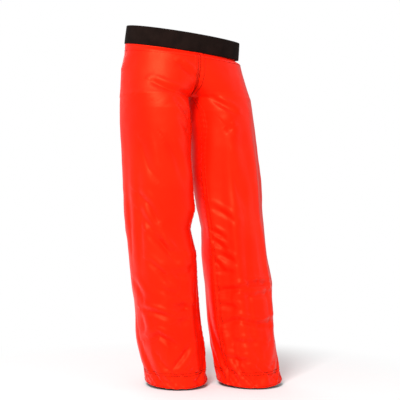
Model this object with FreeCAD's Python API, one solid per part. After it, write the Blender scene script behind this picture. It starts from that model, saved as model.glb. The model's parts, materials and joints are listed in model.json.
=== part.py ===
# Full-wrap chainsaw chaps in the shape of their wearer's stance, in millimetres.
# +Z is up, the front faces -Y and +X is the wearer's left. The origin is the centre of the
# waistband ring, where the wearer's waist holds the chaps.
import FreeCAD, Part
import math
import os
from collections import namedtuple

Vector = FreeCAD.Vector

# Waistband: an elliptical ring, open at the back, tilted with the wearer's hips.
waist_half_width = 166.0
waist_half_depth = 118.0
band_height = 50.0
band_thickness = 5.0
band_rear_y = 62.0
waist_roll = 4.5
waist_pitch = 9.0

# Belt: webbing that closes the back of the ring, straight across the spine.
webbing_width = 38.0
webbing_thickness = 2.0
webbing_tail_length = 62.0
webbing_stitch_length = 4.0
webbing_clearance = 0.4
belt_straight_half = 72.0
keeper_length = 14.0
keeper_thickness = 1.4
keeper_centre_x = -62.0
keeper_clearance = 0.4

# Side-release buckle at the centre of the back.
buckle_depth = 14.0
buckle_wall = 2.2
buckle_bar = 3.5
buckle_window = 16.0
socket_length = 38.0
socket_tail = 14.0
plug_length = 24.0
plug_depth = 9.0
plug_arm_length = 28.0
plug_arm_height = 4.5
plug_arm_root = 2.0
plug_clearance = 0.4
webbing_insertion = 9.0
buckle_cheek = webbing_clearance + plug_arm_height + plug_clearance + buckle_wall
buckle_height = webbing_width + 2 * buckle_cheek

# Leg tubes: half widths towards the outside and the inside, and half depths.
thigh_half_outer = 101.0
thigh_half_inner = 84.0
thigh_half_depth = 112.0
knee_half_width = 90.0
knee_half_depth = 95.0
hem_half_width = 80.0
hem_half_depth = 98.0
crotch_drop = 160.0
knee_drop = 513.0
hem_drop = 940.0
leg_gap = 10.0

# Stance: where each leg's centre line stands, right leg first, in X and in Y.
hip_y = -25.0
thigh_centre = {"right": (-91.0, hip_y), "left": (91.0, hip_y)}
knee_centre = {"right": (-94.0, -54.0), "left": (112.0, -90.0)}
hem_centre = {"right": (-57.0, -82.0), "left": (130.0, -156.0)}

# Layers of the fabric, from the outside in.
shell_thickness = 1.5
pad_thickness = 7.0
lining_thickness = 1.2
layer_clearance = 0.3
hem_height = 36.0
hem_thickness = 3.0
facing_width = 26.0
facing_thickness = 1.2

# Seams round each leg, in degrees from the outer side through the back and the inner side.
outer_seam = 35.0
zip_seam = 90.0
inner_seam = 201.0
pad_margin = 4.0

# Hip and knee hinges: both turn about X, and the folds take up the fabric between them.
hip_drop = 135.0
hip_flexion = 50.0
hip_extension = 10.0
knee_flexion = 70.0
fold_spare = 1.0
pivot_relief = 5.0
side_rear_y = 60.0
back_top_drop = 215.0

# Zip down the back of each leg.
zip_recess = 3.7
zip_slot = 18.0
zip_gap = 1.2
coil_width = 2.8
coil_thickness = 2.4
tape_width = 11.0
tape_thickness = 0.8
knee_zip_margin = 7.4
zip_stop_length = 4.0
slider_length = 16.0
slider_width = 11.0
slider_plate = 1.2
slider_clearance = 0.3
slider_web = 0.6
bridge_height = 4.0
bridge_length = 8.0
bridge_width = 2.2
bridge_eye_wall = 0.6
pull_length = 34.0
pull_width = 9.0
pull_thickness = 1.6
pull_neck_share = 0.55
pull_pin_radius = 0.8
pull_clearance = 0.6
pull_window_clearance = 0.8

# Snap tab that closes the vent below the zip.
tab_length = 50.0
tab_height = 24.0
tab_thickness = 2.4
tab_standoff = 0.8
tab_to_pull = 2.0
snap_offset = 17.0
snap_cap_radius = 7.5
snap_cap_thickness = 2.0
snap_cap_rounding = 1.2
snap_foot_radius = 6.5
snap_foot_depth = 0.4
snap_foot_margin = 2.5
snap_post_radius = 2.6
snap_clearance = 0.4
tab_centre_height = hem_height - snap_foot_radius - snap_foot_margin
pull_top_height = tab_centre_height + tab_height / 2 + tab_to_pull + pull_length
zip_stop_height = pull_top_height - slider_length / 2 - zip_stop_length

section_points = 24
sector_step = 50.0
cut_overrun = 1.0
far = 500.0
below_hem = 60.0
deep = hem_drop + below_hem

Level = namedtuple("Level", "x y z outer inner depth")
SIGN = {"right": -1.0, "left": 1.0}

# Which of a leg's five levels each stretch of it runs through.
WAIST_STRETCH = slice(0, 3)
THIGH_STRETCH = slice(1, 4)
KNEE_STRETCH = slice(2, 5)
SHIN_STRETCH = slice(3, 5)


# ---------------------------------------------------------------- shared shapes

def box_between(low, high):
    """An upright block between two opposite corners."""
    size = Vector(*high) - Vector(*low)
    return Part.makeBox(size.x, size.y, size.z, Vector(*low))


def tilted(shape):
    """A shape of the waist ring's own upright frame, tilted with the wearer's hips."""
    turned = shape.copy()
    turned.rotate(Vector(0, 0, 0), Vector(1, 0, 0), waist_pitch)
    turned.rotate(Vector(0, 0, 0), Vector(0, 1, 0), waist_roll)
    return turned


def ellipse_wall(half_width, half_depth, thickness, height):
    """An elliptical ring wall of even thickness, centred on the origin."""
    def filled(inset):
        ellipse = Part.Ellipse(Vector(0, 0, -height / 2), half_width - inset, half_depth - inset)
        return Part.Face(Part.Wire(ellipse.toShape())).extrude(Vector(0, 0, height))
    return filled(0.0).cut(filled(thickness))


def leg_levels(side):
    """The leg's sections from above the waistband down to the hem."""
    waist = (waist_half_width, waist_half_width, waist_half_depth)
    thigh = (thigh_half_outer, thigh_half_inner, thigh_half_depth)
    knee = (knee_half_width, knee_half_width, knee_half_depth)
    hem = (hem_half_width, hem_half_width, hem_half_depth)
    return [
        Level(0.0, 0.0, band_height, *waist),
        Level(0.0, 0.0, -band_height / 2, *waist),
        Level(*thigh_centre[side], -crotch_drop, *thigh),
        Level(*knee_centre[side], -knee_drop, *knee),
        Level(*hem_centre[side], -hem_drop, *hem),
    ]


def section(level, side, inset):
    """One closed oval section, with its own half width on each side of its centre."""
    points = []
    for step in range(section_points):
        angle = 2 * math.pi * step / section_points
        half_width = level.outer if math.cos(angle) > 0 else level.inner
        reach_x = (half_width - inset) * math.cos(angle)
        reach_y = (level.depth - inset) * math.sin(angle)
        points.append(Vector(level.x + SIGN[side] * reach_x, level.y + reach_y, level.z))
    curve = Part.BSplineCurve()
    curve.interpolate(Points=points, PeriodicFlag=True)
    return Part.Wire(curve.toShape())


def leg_layer(side, stretch, outer_inset, thickness):
    """One layer of fabric all the way round one stretch of the leg."""
    levels = leg_levels(side)[stretch]
    outside = Part.makeLoft([section(level, side, outer_inset) for level in levels], True, True)
    inset = outer_inset + thickness
    inside = Part.makeLoft([section(level, side, inset) for level in levels], True, True)
    return outside.cut(inside)


def leg_sector(side, stretch, start, end):
    """A wedge round the leg's centre line between two seams, given in degrees."""
    wires = []
    for level in leg_levels(side)[stretch]:
        centre = Vector(level.x, level.y, level.z)
        corners = [centre]
        pieces = max(2, math.ceil((end - start) / sector_step))
        for step in range(pieces + 1):
            angle = math.radians(start + (end - start) * step / pieces)
            corners.append(centre + far * Vector(SIGN[side] * math.cos(angle), math.sin(angle), 0))
        wires.append(Part.makePolygon(corners + [centre]))
    return Part.makeLoft(wires, True, True)


def along_x(corners):
    """A prism across the whole object from an outline of (y, z) corners."""
    points = [Vector(-far, y, z) for y, z in corners]
    outline = Part.makePolygon(points + [points[0]])
    return Part.Face(outline).extrude(Vector(2 * far, 0, 0))


def ray(pivot, degrees, reach):
    """A (y, z) point in a direction from a pivot: 0 is to the back, 180 to the front."""
    angle = math.radians(degrees)
    return (pivot[0] + reach * math.cos(angle), pivot[1] + reach * math.sin(angle))


def own_half(side):
    """Everything on the leg's own side of the gap between the legs."""
    low = leg_gap / 2 if side == "left" else -far
    high = far if side == "left" else -leg_gap / 2
    return box_between((low, -far, -deep), (high, far, far))


def export(name, shape):
    """Write one node's STEP file."""
    shape.exportStep("parts/" + name + ".step")


# ---------------------------------------------------------------- regions between hinges

hip = (hip_y, -hip_drop)
hip_half_fold = hip_flexion / 2 + fold_spare
hip_rear = hip_extension + fold_spare
behind_leg = 3 * knee_half_depth
knee_half_fold = knee_flexion / 2 + fold_spare


def knee_point(side):
    return (knee_centre[side][1], -knee_drop)


def behind_hip(degrees_down):
    """The (y, z) point on a line through the hip hinge, at the rear edge of the side panel."""
    drop = (side_rear_y - hip_y) * math.tan(math.radians(degrees_down))
    return (side_rear_y, -hip_drop - drop)


def relief(pivot):
    """A round bar of clearance along a hinge axis."""
    centre = Vector(-far, pivot[0], pivot[1])
    return Part.makeCylinder(pivot_relief, 2 * far, centre, Vector(1, 0, 0))


def waist_region():
    """Below the band and above the hip fold, as far back as the rear edge of the sides."""
    outline = [hip, ray(hip, 180 - hip_half_fold, far), (-far, far), (side_rear_y, far), behind_hip(0)]
    below_band = box_between((-far, -far, -far), (far, far, -band_height / 2))
    return along_x(outline).common(tilted(below_band)).cut(relief(hip))


def hip_fold_region():
    """The wedge in front of the hip hinge that the fabric of the groin folds into."""
    outline = [
        (hip[0] - pivot_relief, hip[1]),
        ray(hip, 180 - hip_half_fold + layer_clearance, far),
        ray(hip, 180 + hip_half_fold - layer_clearance, far),
    ]
    return along_x(outline)


def thigh_region(side):
    """Between the hip hinge and the knee hinge."""
    knee = knee_point(side)
    back_top_y = thigh_centre[side][1] + thigh_half_depth
    outline = [
        hip,
        ray(hip, 180 + hip_half_fold, far),
        (-far, knee[1] + layer_clearance),
        (knee[0], knee[1] + layer_clearance),
        ray(knee, knee_half_fold, behind_leg),
        (far, -back_top_drop),
        (back_top_y, -back_top_drop),
        behind_hip(hip_rear),
    ]
    return along_x(outline).common(own_half(side)).cut(relief(hip)).cut(relief(knee))


def knee_fold_region(side):
    """The wedge behind the knee hinge that the fabric of the knee folds into."""
    knee = knee_point(side)
    outline = [
        (knee[0] + pivot_relief, knee[1]),
        ray(knee, knee_half_fold - layer_clearance, behind_leg),
        ray(knee, layer_clearance - knee_half_fold, behind_leg),
    ]
    return along_x(outline)


def shin_region(side):
    """Below the knee hinge, down to the floor side of the hem."""
    knee = knee_point(side)
    outline = [
        (knee[0], knee[1] - layer_clearance),
        (-far, knee[1] - layer_clearance),
        (-far, -deep),
        (far, -deep),
        ray(knee, -knee_half_fold, behind_leg),
    ]
    return along_x(outline).cut(relief(knee))


# ---------------------------------------------------------------- waistband and belt

def waistband():
    ring = ellipse_wall(waist_half_width, waist_half_depth, band_thickness, band_height)
    front = box_between((-far, -far, -far), (far, band_rear_y, far))
    return tilted(ring.common(front))


def belt_line_y():
    """Where the webbing's outer face runs straight across the back."""
    outer_half_width = waist_half_width - webbing_inset()
    outer_half_depth = waist_half_depth - webbing_inset()
    return outer_half_depth * math.sqrt(1 - (belt_straight_half / outer_half_width) ** 2)


def webbing_inset():
    """The webbing leaves the band from the middle of its thickness."""
    return (band_thickness - webbing_thickness) / 2


def webbing_curve(sign):
    """The bent run from the band's end to the straight stretch."""
    inset = webbing_inset()
    wall = ellipse_wall(
        waist_half_width - inset, waist_half_depth - inset, webbing_thickness, webbing_width)
    low_x, high_x = sorted((sign * belt_straight_half, sign * far))
    return wall.common(box_between((low_x, band_rear_y, -far), (high_x, far, far)))


def webbing_straight(low_x, high_x, outer_y):
    """A flat run of webbing across the back."""
    half = webbing_width / 2
    return box_between((low_x, outer_y - webbing_thickness, -half), (high_x, outer_y, half))


def belt_webbing_left():
    end_x = socket_length + socket_tail - webbing_insertion
    flat = webbing_straight(end_x, belt_straight_half, belt_line_y())
    return tilted(webbing_curve(1.0).fuse(flat).removeSplitter())


def belt_webbing_right():
    """The webbing through the plug, with its free tail laid back along it."""
    line = belt_line_y()
    flat = webbing_straight(-belt_straight_half, -plug_clearance, line)
    tail_y = line + webbing_clearance + webbing_thickness
    tail_end = -plug_length - plug_travel() - webbing_clearance
    tail = webbing_straight(tail_end - webbing_tail_length, tail_end, tail_y)
    tail = tail.common(box_between((-belt_straight_half, -far, -far), (0, far, far)))
    stitch = box_between(
        (tail_end - webbing_stitch_length, line, -webbing_width / 2), (tail_end, tail_y, webbing_width / 2))
    body = webbing_curve(-1.0).fuse(flat)
    return tilted(body.fuse([tail, stitch]).removeSplitter())


def plug_travel():
    """How far the plug slides along its webbing to leave the socket."""
    return plug_arm_length + plug_clearance


def belt_middle_y():
    return belt_line_y() - webbing_thickness / 2


def buckle_socket():
    """The hollow half of the buckle, with a bar at its tail for the left webbing."""
    mid, half_height, half_depth = belt_middle_y(), buckle_height / 2, buckle_depth / 2
    body = box_between(
        (0, mid - half_depth, -half_height), (socket_length, mid + half_depth, half_height))
    wall = buckle_wall
    cavity = box_between(
        (-cut_overrun, mid - half_depth + wall, -half_height + wall),
        (socket_length - wall, mid + half_depth - wall, half_height - wall))
    window = box_between(
        (socket_length / 2 - buckle_window / 2, mid - plug_depth / 2, -far),
        (socket_length / 2 + buckle_window / 2, mid + plug_depth / 2, far))
    tail_half = plug_depth / 2
    tail = box_between(
        (socket_length, mid - tail_half, -half_height),
        (socket_length + socket_tail, mid + tail_half, half_height))
    slot_half = webbing_thickness / 2 + webbing_clearance
    slot_half_height = webbing_width / 2 + webbing_clearance
    slot = box_between(
        (socket_length + buckle_bar, mid - slot_half, -slot_half_height),
        (socket_length + socket_tail + cut_overrun, mid + slot_half, slot_half_height))
    return tilted(body.cut(cavity).cut(window).fuse(tail).cut(slot).removeSplitter())


def buckle_plug():
    """The arms and the webbing frame that slide into the socket."""
    mid, half_height = belt_middle_y(), buckle_height / 2
    gap = plug_clearance
    frame = box_between(
        (-plug_length, mid - plug_depth / 2, -half_height), (-gap, mid + plug_depth / 2, half_height))
    slot_half = webbing_thickness / 2 + webbing_clearance
    slot_half_height = webbing_width / 2 + webbing_clearance
    channel = box_between(
        (-plug_length - cut_overrun, mid - slot_half, -slot_half_height),
        (cut_overrun, mid + slot_half, slot_half_height))
    plug = frame.cut(channel)
    arm_half = buckle_depth / 2 - buckle_wall - gap
    arm_outer = half_height - buckle_wall - gap
    for sign in (-1.0, 1.0):
        low, high = sorted((sign * arm_outer, sign * (arm_outer - plug_arm_height)))
        arm = box_between(
            (-gap - plug_arm_root, mid - arm_half, low), (plug_arm_length, mid + arm_half, high))
        plug = plug.fuse(arm)
    return tilted(plug.removeSplitter())


def belt_keeper():
    """The elastic loop that holds the webbing's free tail."""
    gap, wall = keeper_clearance, keeper_thickness
    low_y = belt_line_y() - webbing_thickness - gap
    high_y = belt_line_y() + webbing_clearance + webbing_thickness + gap
    half = webbing_width / 2 + gap
    low_x, high_x = keeper_centre_x - keeper_length / 2, keeper_centre_x + keeper_length / 2
    outer = box_between((low_x, low_y - wall, -half - wall), (high_x, high_y + wall, half + wall))
    inner = box_between((low_x - cut_overrun, low_y, -half), (high_x + cut_overrun, high_y, half))
    return tilted(outer.cut(inner))


# ---------------------------------------------------------------- legs

pad_inset = shell_thickness + layer_clearance
lining_inset = pad_inset + pad_thickness + layer_clearance


def zip_opening(side, stretch):
    """The strip down the back of the leg that the panels leave for the zip."""
    wires = []
    for level in leg_levels(side)[stretch]:
        low, high = level.x - zip_slot / 2, level.x + zip_slot / 2
        corners = [
            Vector(low, level.y, level.z), Vector(high, level.y, level.z),
            Vector(high, level.y + far, level.z), Vector(low, level.y + far, level.z)]
        wires.append(Part.makePolygon(corners + [corners[0]]))
    return Part.makeLoft(wires, True, True)


def front_side(side):
    """What the waist's own panels cover: the front and the outer side."""
    low = -far if side == "right" else 0.0
    high = 0.0 if side == "right" else far
    return box_between((low, -far, -far), (high, far, far))


def waist_layer(side, outer_inset, thickness, rear_seam):
    """One layer between the band and the hip fold, from the centre seam round to the side."""
    layer = leg_layer(side, WAIST_STRETCH, outer_inset, thickness)
    wrap = leg_sector(side, WAIST_STRETCH, inner_seam, 360 + rear_seam)
    return layer.common(wrap).common(waist_region().common(front_side(side)))


def front_lining():
    """The lining behind both front panels, one piece across the centre seam."""
    halves = [waist_layer(side, lining_inset, lining_thickness, zip_seam) for side in SIGN]
    return halves[0].fuse(halves[1]).removeSplitter()


def hip_fold(side):
    """The front of the groin, one soft layer thick."""
    layer = leg_layer(side, THIGH_STRETCH, 0.0, shell_thickness + layer_clearance + lining_thickness)
    return layer.common(hip_fold_region().common(front_side(side)))


def leg_panels(side, part, stretch, region):
    """The panels, protective pad and lining of one thigh or shin."""
    opening = zip_opening(side, stretch)
    shell = leg_layer(side, stretch, 0.0, shell_thickness)
    pad = leg_layer(side, stretch, pad_inset, pad_thickness)
    lining = leg_layer(side, stretch, lining_inset, lining_thickness)
    seams = {
        "front": (inner_seam, 360 + outer_seam),
        "outer": (outer_seam, zip_seam),
        "inner": (zip_seam, inner_seam),
    }
    nodes = {}
    for panel, (start, end) in seams.items():
        piece = shell.common(leg_sector(side, stretch, start, end)).common(region)
        nodes[f"{side}_{part}_{panel}"] = piece.cut(opening)
    padded = leg_sector(side, stretch, inner_seam + pad_margin, 360 + outer_seam - pad_margin)
    nodes[f"{side}_{part}_pad"] = pad.common(padded).common(region)
    nodes[f"{side}_{part}_lining"] = lining.common(region).cut(opening)
    return nodes


def above_hem():
    return box_between((-far, -far, -hem_drop + hem_height), (far, far, far))


def hem_band(side):
    """The turned-up double edge at the bottom of the leg."""
    ring = leg_layer(side, SHIN_STRETCH, 0.0, hem_thickness)
    low = box_between((-far, -far, -deep), (far, far, -hem_drop + hem_height))
    return ring.common(low).cut(zip_opening(side, SHIN_STRETCH))


def knee_fold(side):
    """The soft back of the knee, one layer thick, with its gap for the zip."""
    layer = leg_layer(side, KNEE_STRETCH, 0.0, shell_thickness + layer_clearance + lining_thickness)
    return layer.common(knee_fold_region(side)).cut(zip_opening(side, KNEE_STRETCH))


def centre_seam_facing():
    """The felled strip over the seam where the two front panels meet."""
    half = facing_width / 2
    strip = box_between((-half, -far, -far), (half, hip_y, far))
    region = waist_region().common(strip)
    halves = []
    for side in SIGN:
        outset = -layer_clearance - facing_thickness
        layer = leg_layer(side, WAIST_STRETCH, outset, facing_thickness)
        halves.append(layer.common(region).common(front_side(side)))
    return halves[0].fuse(halves[1]).removeSplitter()


# ---------------------------------------------------------------- zip, slider and snap tab

def back_point(side, z):
    """The middle of the leg's back at a height, on the outside of the shell."""
    levels = leg_levels(side)
    for upper, lower in zip(levels, levels[1:]):
        if lower.z <= z <= upper.z:
            share = (upper.z - z) / (upper.z - lower.z)
            x = upper.x + share * (lower.x - upper.x)
            y = upper.y + upper.depth + share * (lower.y + lower.depth - upper.y - upper.depth)
            return Vector(x, y, z)
    raise ValueError("no leg at that height")


def back_frame(side, z):
    """A frame on the shin's back line: x across, y outwards, z up along the zip."""
    foot = back_point(side, -hem_drop)
    up = back_point(side, -knee_drop) - foot
    up.normalize()
    across = Vector(1, 0, 0) - up * up.x
    across.normalize()
    turn = FreeCAD.Rotation(across, up.cross(across), up, "ZXY")
    return FreeCAD.Placement(back_point(side, z), turn)


def placed(shape, placement):
    moved = shape.copy()
    moved.transformShape(placement.toMatrix())
    return moved


def zip_strip(side, low_z, high_z, near, wide, centre_inset, thickness):
    """Both rows of a strip along the zip, from near to near + wide either side of it."""
    rows = []
    for sign in (-1.0, 1.0):
        wires = []
        for z in (low_z, high_z):
            back = back_point(side, z)
            low, high = sorted((sign * near, sign * (near + wide)))
            front_y = back.y - centre_inset - thickness / 2
            rear_y = back.y - centre_inset + thickness / 2
            corners = [
                Vector(back.x + low, front_y, z), Vector(back.x + high, front_y, z),
                Vector(back.x + high, rear_y, z), Vector(back.x + low, rear_y, z)]
            wires.append(Part.makePolygon(corners + [corners[0]]))
        rows.append(Part.makeLoft(wires, True, True))
    return rows


def zip_length(side, low_z, high_z, width):
    """The tapes, of a given width, and the two coil rows of one stretch of zip."""
    row = zip_gap / 2
    coils = zip_strip(side, low_z, high_z, row, coil_width, zip_recess, coil_thickness)
    tapes = zip_strip(side, low_z, high_z, row + coil_width, width, zip_recess, tape_thickness)
    return Part.makeCompound(tapes), Part.makeCompound(coils)


def knee_tape_width():
    """At the knee fold the tapes lie in the slot, clear of the fold's edges."""
    return zip_slot / 2 - zip_gap / 2 - coil_width - layer_clearance


def zip_ends(side):
    """Heights where the zip crosses into and out of the knee fold, and its two ends."""
    fold = knee_half_depth * math.tan(math.radians(knee_half_fold)) + knee_zip_margin
    top = -back_top_drop - zip_recess
    bottom = -hem_drop + zip_stop_height + zip_stop_length
    return top, -knee_drop + fold, -knee_drop - fold, bottom


def zip_stop(side):
    """The moulded stop that joins both rows below the slider."""
    low_z = -hem_drop + zip_stop_height
    width = zip_gap / 2 + coil_width
    halves = zip_strip(side, low_z, low_z + zip_stop_length, 0.0, width, zip_recess, coil_thickness)
    return halves[0].fuse(halves[1]).removeSplitter()


def slider_height():
    return -hem_drop + zip_stop_height + zip_stop_length + slider_length / 2 + layer_clearance


def zip_slider(side):
    """Two plates joined by a web between the rows, with a bridge for the pull."""
    inner = coil_thickness / 2 + slider_clearance
    half_width, half_length = slider_width / 2, slider_length / 2
    centre = -zip_recess
    plates = []
    for low, high in ((inner, inner + slider_plate), (-inner - slider_plate, -inner)):
        plate = box_between(
            (-half_width, centre + low, -half_length), (half_width, centre + high, half_length))
        plates.append(plate)
    web = box_between(
        (-slider_web / 2, centre - inner, -half_length), (slider_web / 2, centre + inner, half_length))
    top = centre + inner + slider_plate
    bridge = box_between(
        (-bridge_width / 2, top, -bridge_length / 2),
        (bridge_width / 2, top + bridge_height, bridge_length / 2))
    eye = pull_pin_radius + pull_clearance
    eye_base = top + bridge_eye_wall
    eye_hole = box_between((-far, eye_base, -eye), (far, eye_base + 2 * eye, eye))
    shape = plates[0].fuse([plates[1], web, bridge.cut(eye_hole)]).removeSplitter()
    return placed(shape, back_frame(side, slider_height()))


def pull_pivot(side):
    """The centre of the pull's pin, inside the slider's bridge."""
    outward = -zip_recess + coil_thickness / 2 + slider_clearance + slider_plate
    outward = outward + bridge_eye_wall + pull_clearance + pull_pin_radius
    return back_frame(side, slider_height()).multVec(Vector(0, outward, 0))


def zip_pull(side):
    """A flat ring that hangs plumb from its pin through the bridge."""
    half = pull_width / 2
    flat = box_between((-half, -pull_thickness / 2, -pull_length), (half, pull_thickness / 2, 0))
    window_half = bridge_width / 2 + pull_window_clearance
    rail = half - window_half
    window = box_between((-window_half, -far, -bridge_length), (window_half, far, far))
    hole = box_between(
        (-window_half, -far, -pull_length + rail), (window_half, far, -pull_length * pull_neck_share))
    pin = Part.makeCylinder(pull_pin_radius, pull_width, Vector(-half, 0, 0), Vector(1, 0, 0))
    shape = flat.cut(window).cut(hole).fuse(pin).removeSplitter()
    shape.translate(pull_pivot(side))
    return shape


def tab_frame(side):
    return back_frame(side, -hem_drop + tab_centre_height)


def hem_tab(side):
    """The tab across the vent, sewn at its outer end and drilled for the snap."""
    half = tab_length / 2
    low, high = tab_standoff, tab_standoff + tab_thickness
    tab = box_between((-half, low, -tab_height / 2), (half, high, tab_height / 2))
    snap_x = -SIGN[side] * snap_offset
    radius = snap_post_radius + snap_clearance
    hole = Part.makeCylinder(radius, tab_thickness, Vector(snap_x, low, 0), Vector(0, 1, 0))
    return placed(tab.cut(hole), tab_frame(side))


def snap_cap(side):
    """The domed cap on the tab over the stud."""
    base = tab_standoff + tab_thickness
    snap_x = -SIGN[side] * snap_offset
    cap = Part.makeCylinder(snap_cap_radius, snap_cap_thickness, Vector(snap_x, base, 0), Vector(0, 1, 0))
    middle = base + snap_cap_thickness / 2
    outer_rim = [edge for edge in cap.Edges if edge.BoundBox.YMin > middle]
    return placed(cap.makeFillet(snap_cap_rounding, outer_rim), tab_frame(side))


def snap_stud(side):
    """The stud on the inner panel: a foot on the hem and a post into the tab."""
    snap_x = -SIGN[side] * snap_offset
    sink = snap_offset ** 2 * hem_half_depth / (2 * hem_half_width ** 2)
    base = -sink - snap_foot_depth
    top = tab_standoff + tab_thickness - snap_clearance
    foot_top = tab_standoff - snap_clearance
    outward = Vector(0, 1, 0)
    foot = Part.makeCylinder(snap_foot_radius, foot_top - base, Vector(snap_x, base, 0), outward)
    post = Part.makeCylinder(snap_post_radius, top - foot_top, Vector(snap_x, foot_top, 0), outward)
    stud = placed(foot.fuse(post).removeSplitter(), tab_frame(side))
    return stud.cut(hem_band(side))


# ---------------------------------------------------------------- the whole object

def waist_nodes():
    return {
        "waistband": waistband(),
        "belt_webbing_left": belt_webbing_left(),
        "belt_webbing_right": belt_webbing_right(),
        "belt_keeper": belt_keeper(),
        "buckle_socket": buckle_socket(),
        "buckle_plug": buckle_plug(),
        "centre_seam_facing": centre_seam_facing(),
        "front_lining": front_lining(),
    }


def leg_nodes(side):
    nodes = {
        "front_panel_" + side: waist_layer(side, 0.0, shell_thickness, zip_seam),
        "front_pad_" + side: waist_layer(side, pad_inset, pad_thickness, outer_seam),
        "hip_fold_" + side: hip_fold(side),
    }
    nodes.update(leg_panels(side, "thigh", THIGH_STRETCH, thigh_region(side)))
    nodes.update(leg_panels(side, "shin", SHIN_STRETCH, shin_region(side).common(above_hem())))
    nodes[side + "_knee_fold"] = knee_fold(side)
    nodes[side + "_hem_band"] = hem_band(side)
    top, fold_top, fold_bottom, bottom = zip_ends(side)
    knee_zip = []
    for low_z, high_z in ((fold_bottom, -knee_drop - layer_clearance), (-knee_drop, fold_top)):
        tapes, coils = zip_length(side, low_z, high_z, knee_tape_width())
        knee_zip.extend(tapes.Solids + coils.Solids)
    nodes[side + "_knee_zip"] = Part.makeCompound(knee_zip)
    for part, low_z, high_z in (("thigh", fold_top, top), ("shin", bottom, fold_bottom)):
        tapes, coils = zip_length(side, low_z, high_z, tape_width)
        nodes[f"{side}_{part}_zip_tapes"] = tapes
        nodes[f"{side}_{part}_zip_coils"] = coils
    nodes[side + "_zip_stop"] = zip_stop(side)
    nodes[side + "_zip_slider"] = zip_slider(side)
    nodes[side + "_zip_pull"] = zip_pull(side)
    nodes[side + "_hem_tab"] = hem_tab(side)
    nodes[side + "_snap_cap"] = snap_cap(side)
    nodes[side + "_snap_stud"] = snap_stud(side)
    return nodes


def main():
    os.makedirs("parts", exist_ok=True)
    nodes = waist_nodes()
    for side in SIGN:
        nodes.update(leg_nodes(side))
    for name, shape in nodes.items():
        export(name, shape)
        print(name, len(shape.Solids), round(shape.Volume / 1000, 2), "cm3", shape.isValid())
    print(len(nodes), "nodes")


main()
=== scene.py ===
# Full-wrap chainsaw chaps: the looks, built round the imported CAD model. Units are metres.
import json
import math
import bpy
import numpy as np
from mathutils import Matrix, Vector
from mathutils.bvhtree import BVHTree


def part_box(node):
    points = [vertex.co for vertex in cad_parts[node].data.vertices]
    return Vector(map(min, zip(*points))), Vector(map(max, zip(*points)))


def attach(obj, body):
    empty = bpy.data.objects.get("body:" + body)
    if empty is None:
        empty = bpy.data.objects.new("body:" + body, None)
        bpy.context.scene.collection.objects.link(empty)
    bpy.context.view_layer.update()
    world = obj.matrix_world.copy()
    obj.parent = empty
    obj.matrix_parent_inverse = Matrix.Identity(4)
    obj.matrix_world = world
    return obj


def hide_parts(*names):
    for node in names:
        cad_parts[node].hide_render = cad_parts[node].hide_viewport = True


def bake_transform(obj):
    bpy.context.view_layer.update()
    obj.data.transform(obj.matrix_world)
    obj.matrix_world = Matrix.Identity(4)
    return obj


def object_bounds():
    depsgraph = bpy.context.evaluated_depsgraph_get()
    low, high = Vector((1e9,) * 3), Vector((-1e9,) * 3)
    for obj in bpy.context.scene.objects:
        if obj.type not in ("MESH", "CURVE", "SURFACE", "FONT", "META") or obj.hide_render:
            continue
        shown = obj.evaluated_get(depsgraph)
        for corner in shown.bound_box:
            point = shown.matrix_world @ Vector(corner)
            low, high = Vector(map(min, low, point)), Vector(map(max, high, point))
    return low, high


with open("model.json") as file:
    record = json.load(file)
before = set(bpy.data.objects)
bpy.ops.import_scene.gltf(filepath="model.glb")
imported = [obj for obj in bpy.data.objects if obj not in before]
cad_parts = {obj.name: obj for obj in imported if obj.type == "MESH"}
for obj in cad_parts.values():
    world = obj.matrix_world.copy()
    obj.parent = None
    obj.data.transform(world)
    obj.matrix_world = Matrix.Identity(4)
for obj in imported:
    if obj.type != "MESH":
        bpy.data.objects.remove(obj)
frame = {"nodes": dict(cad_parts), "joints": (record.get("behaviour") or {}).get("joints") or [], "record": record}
cad_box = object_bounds()

SIDES = {"right": -1.0, "left": 1.0}
MM = 0.001
joints = {joint["name"]: joint for joint in frame["joints"]}
mounts = {mount["name"]: mount for mount in frame["record"]["mounts"]}
rng = np.random.default_rng(7)


# ------------------------------------------------------------------ where the CAD model is

def node_points(name):
    """All the vertices of a CAD node, as an array."""
    return np.array([v.co for v in frame["nodes"][name].data.vertices])


waist_axis = Vector(mounts["waist"]["axis"])
BAND_HALF = float(np.abs(node_points("waistband") @ np.array(waist_axis)).max())
HIP = {side: Vector(joints[f"{side}_hip_swing"]["pos_m"]) for side in SIDES}
KNEE = {side: Vector(joints[f"{side}_knee_bend"]["pos_m"]) for side in SIDES}
HEM = {side: Vector(mounts[f"{side}_leg_opening"]["pos_m"]) for side in SIDES}
HEM_Z = HEM["right"].z
KNEE_Z = KNEE["right"].z
HEM_TOP_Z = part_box("right_hem_band")[1].z
BACK_TOP_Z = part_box("right_thigh_zip_tapes")[1].z
CROTCH_Z = -0.160


def leg_axis(side, z):
    """The middle of a leg at a height."""
    upper, lower = (HIP[side], KNEE[side]) if z > KNEE_Z else (KNEE[side], HEM[side])
    middle = upper.lerp(lower, min(1.0, (upper.z - z) / (upper.z - lower.z)))
    return Vector((middle.x, middle.y, z))


def hip_axis(side, z):
    """The middle of both hips at a height."""
    share = min(1.0, max(0.0, z / HIP[side].z))
    return Vector((0, HIP[side].y * share, z))


def leg_turn(side, angle):
    """Angle 0 is the outer side, then the back, the inner side and the front."""
    return Vector((SIDES[side] * math.cos(angle), math.sin(angle), 0))


def hip_turn(side, angle):
    """Angle 0 is the centre front, then round the outer side."""
    return Vector((SIDES[side] * math.sin(angle), -math.cos(angle), 0))


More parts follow.
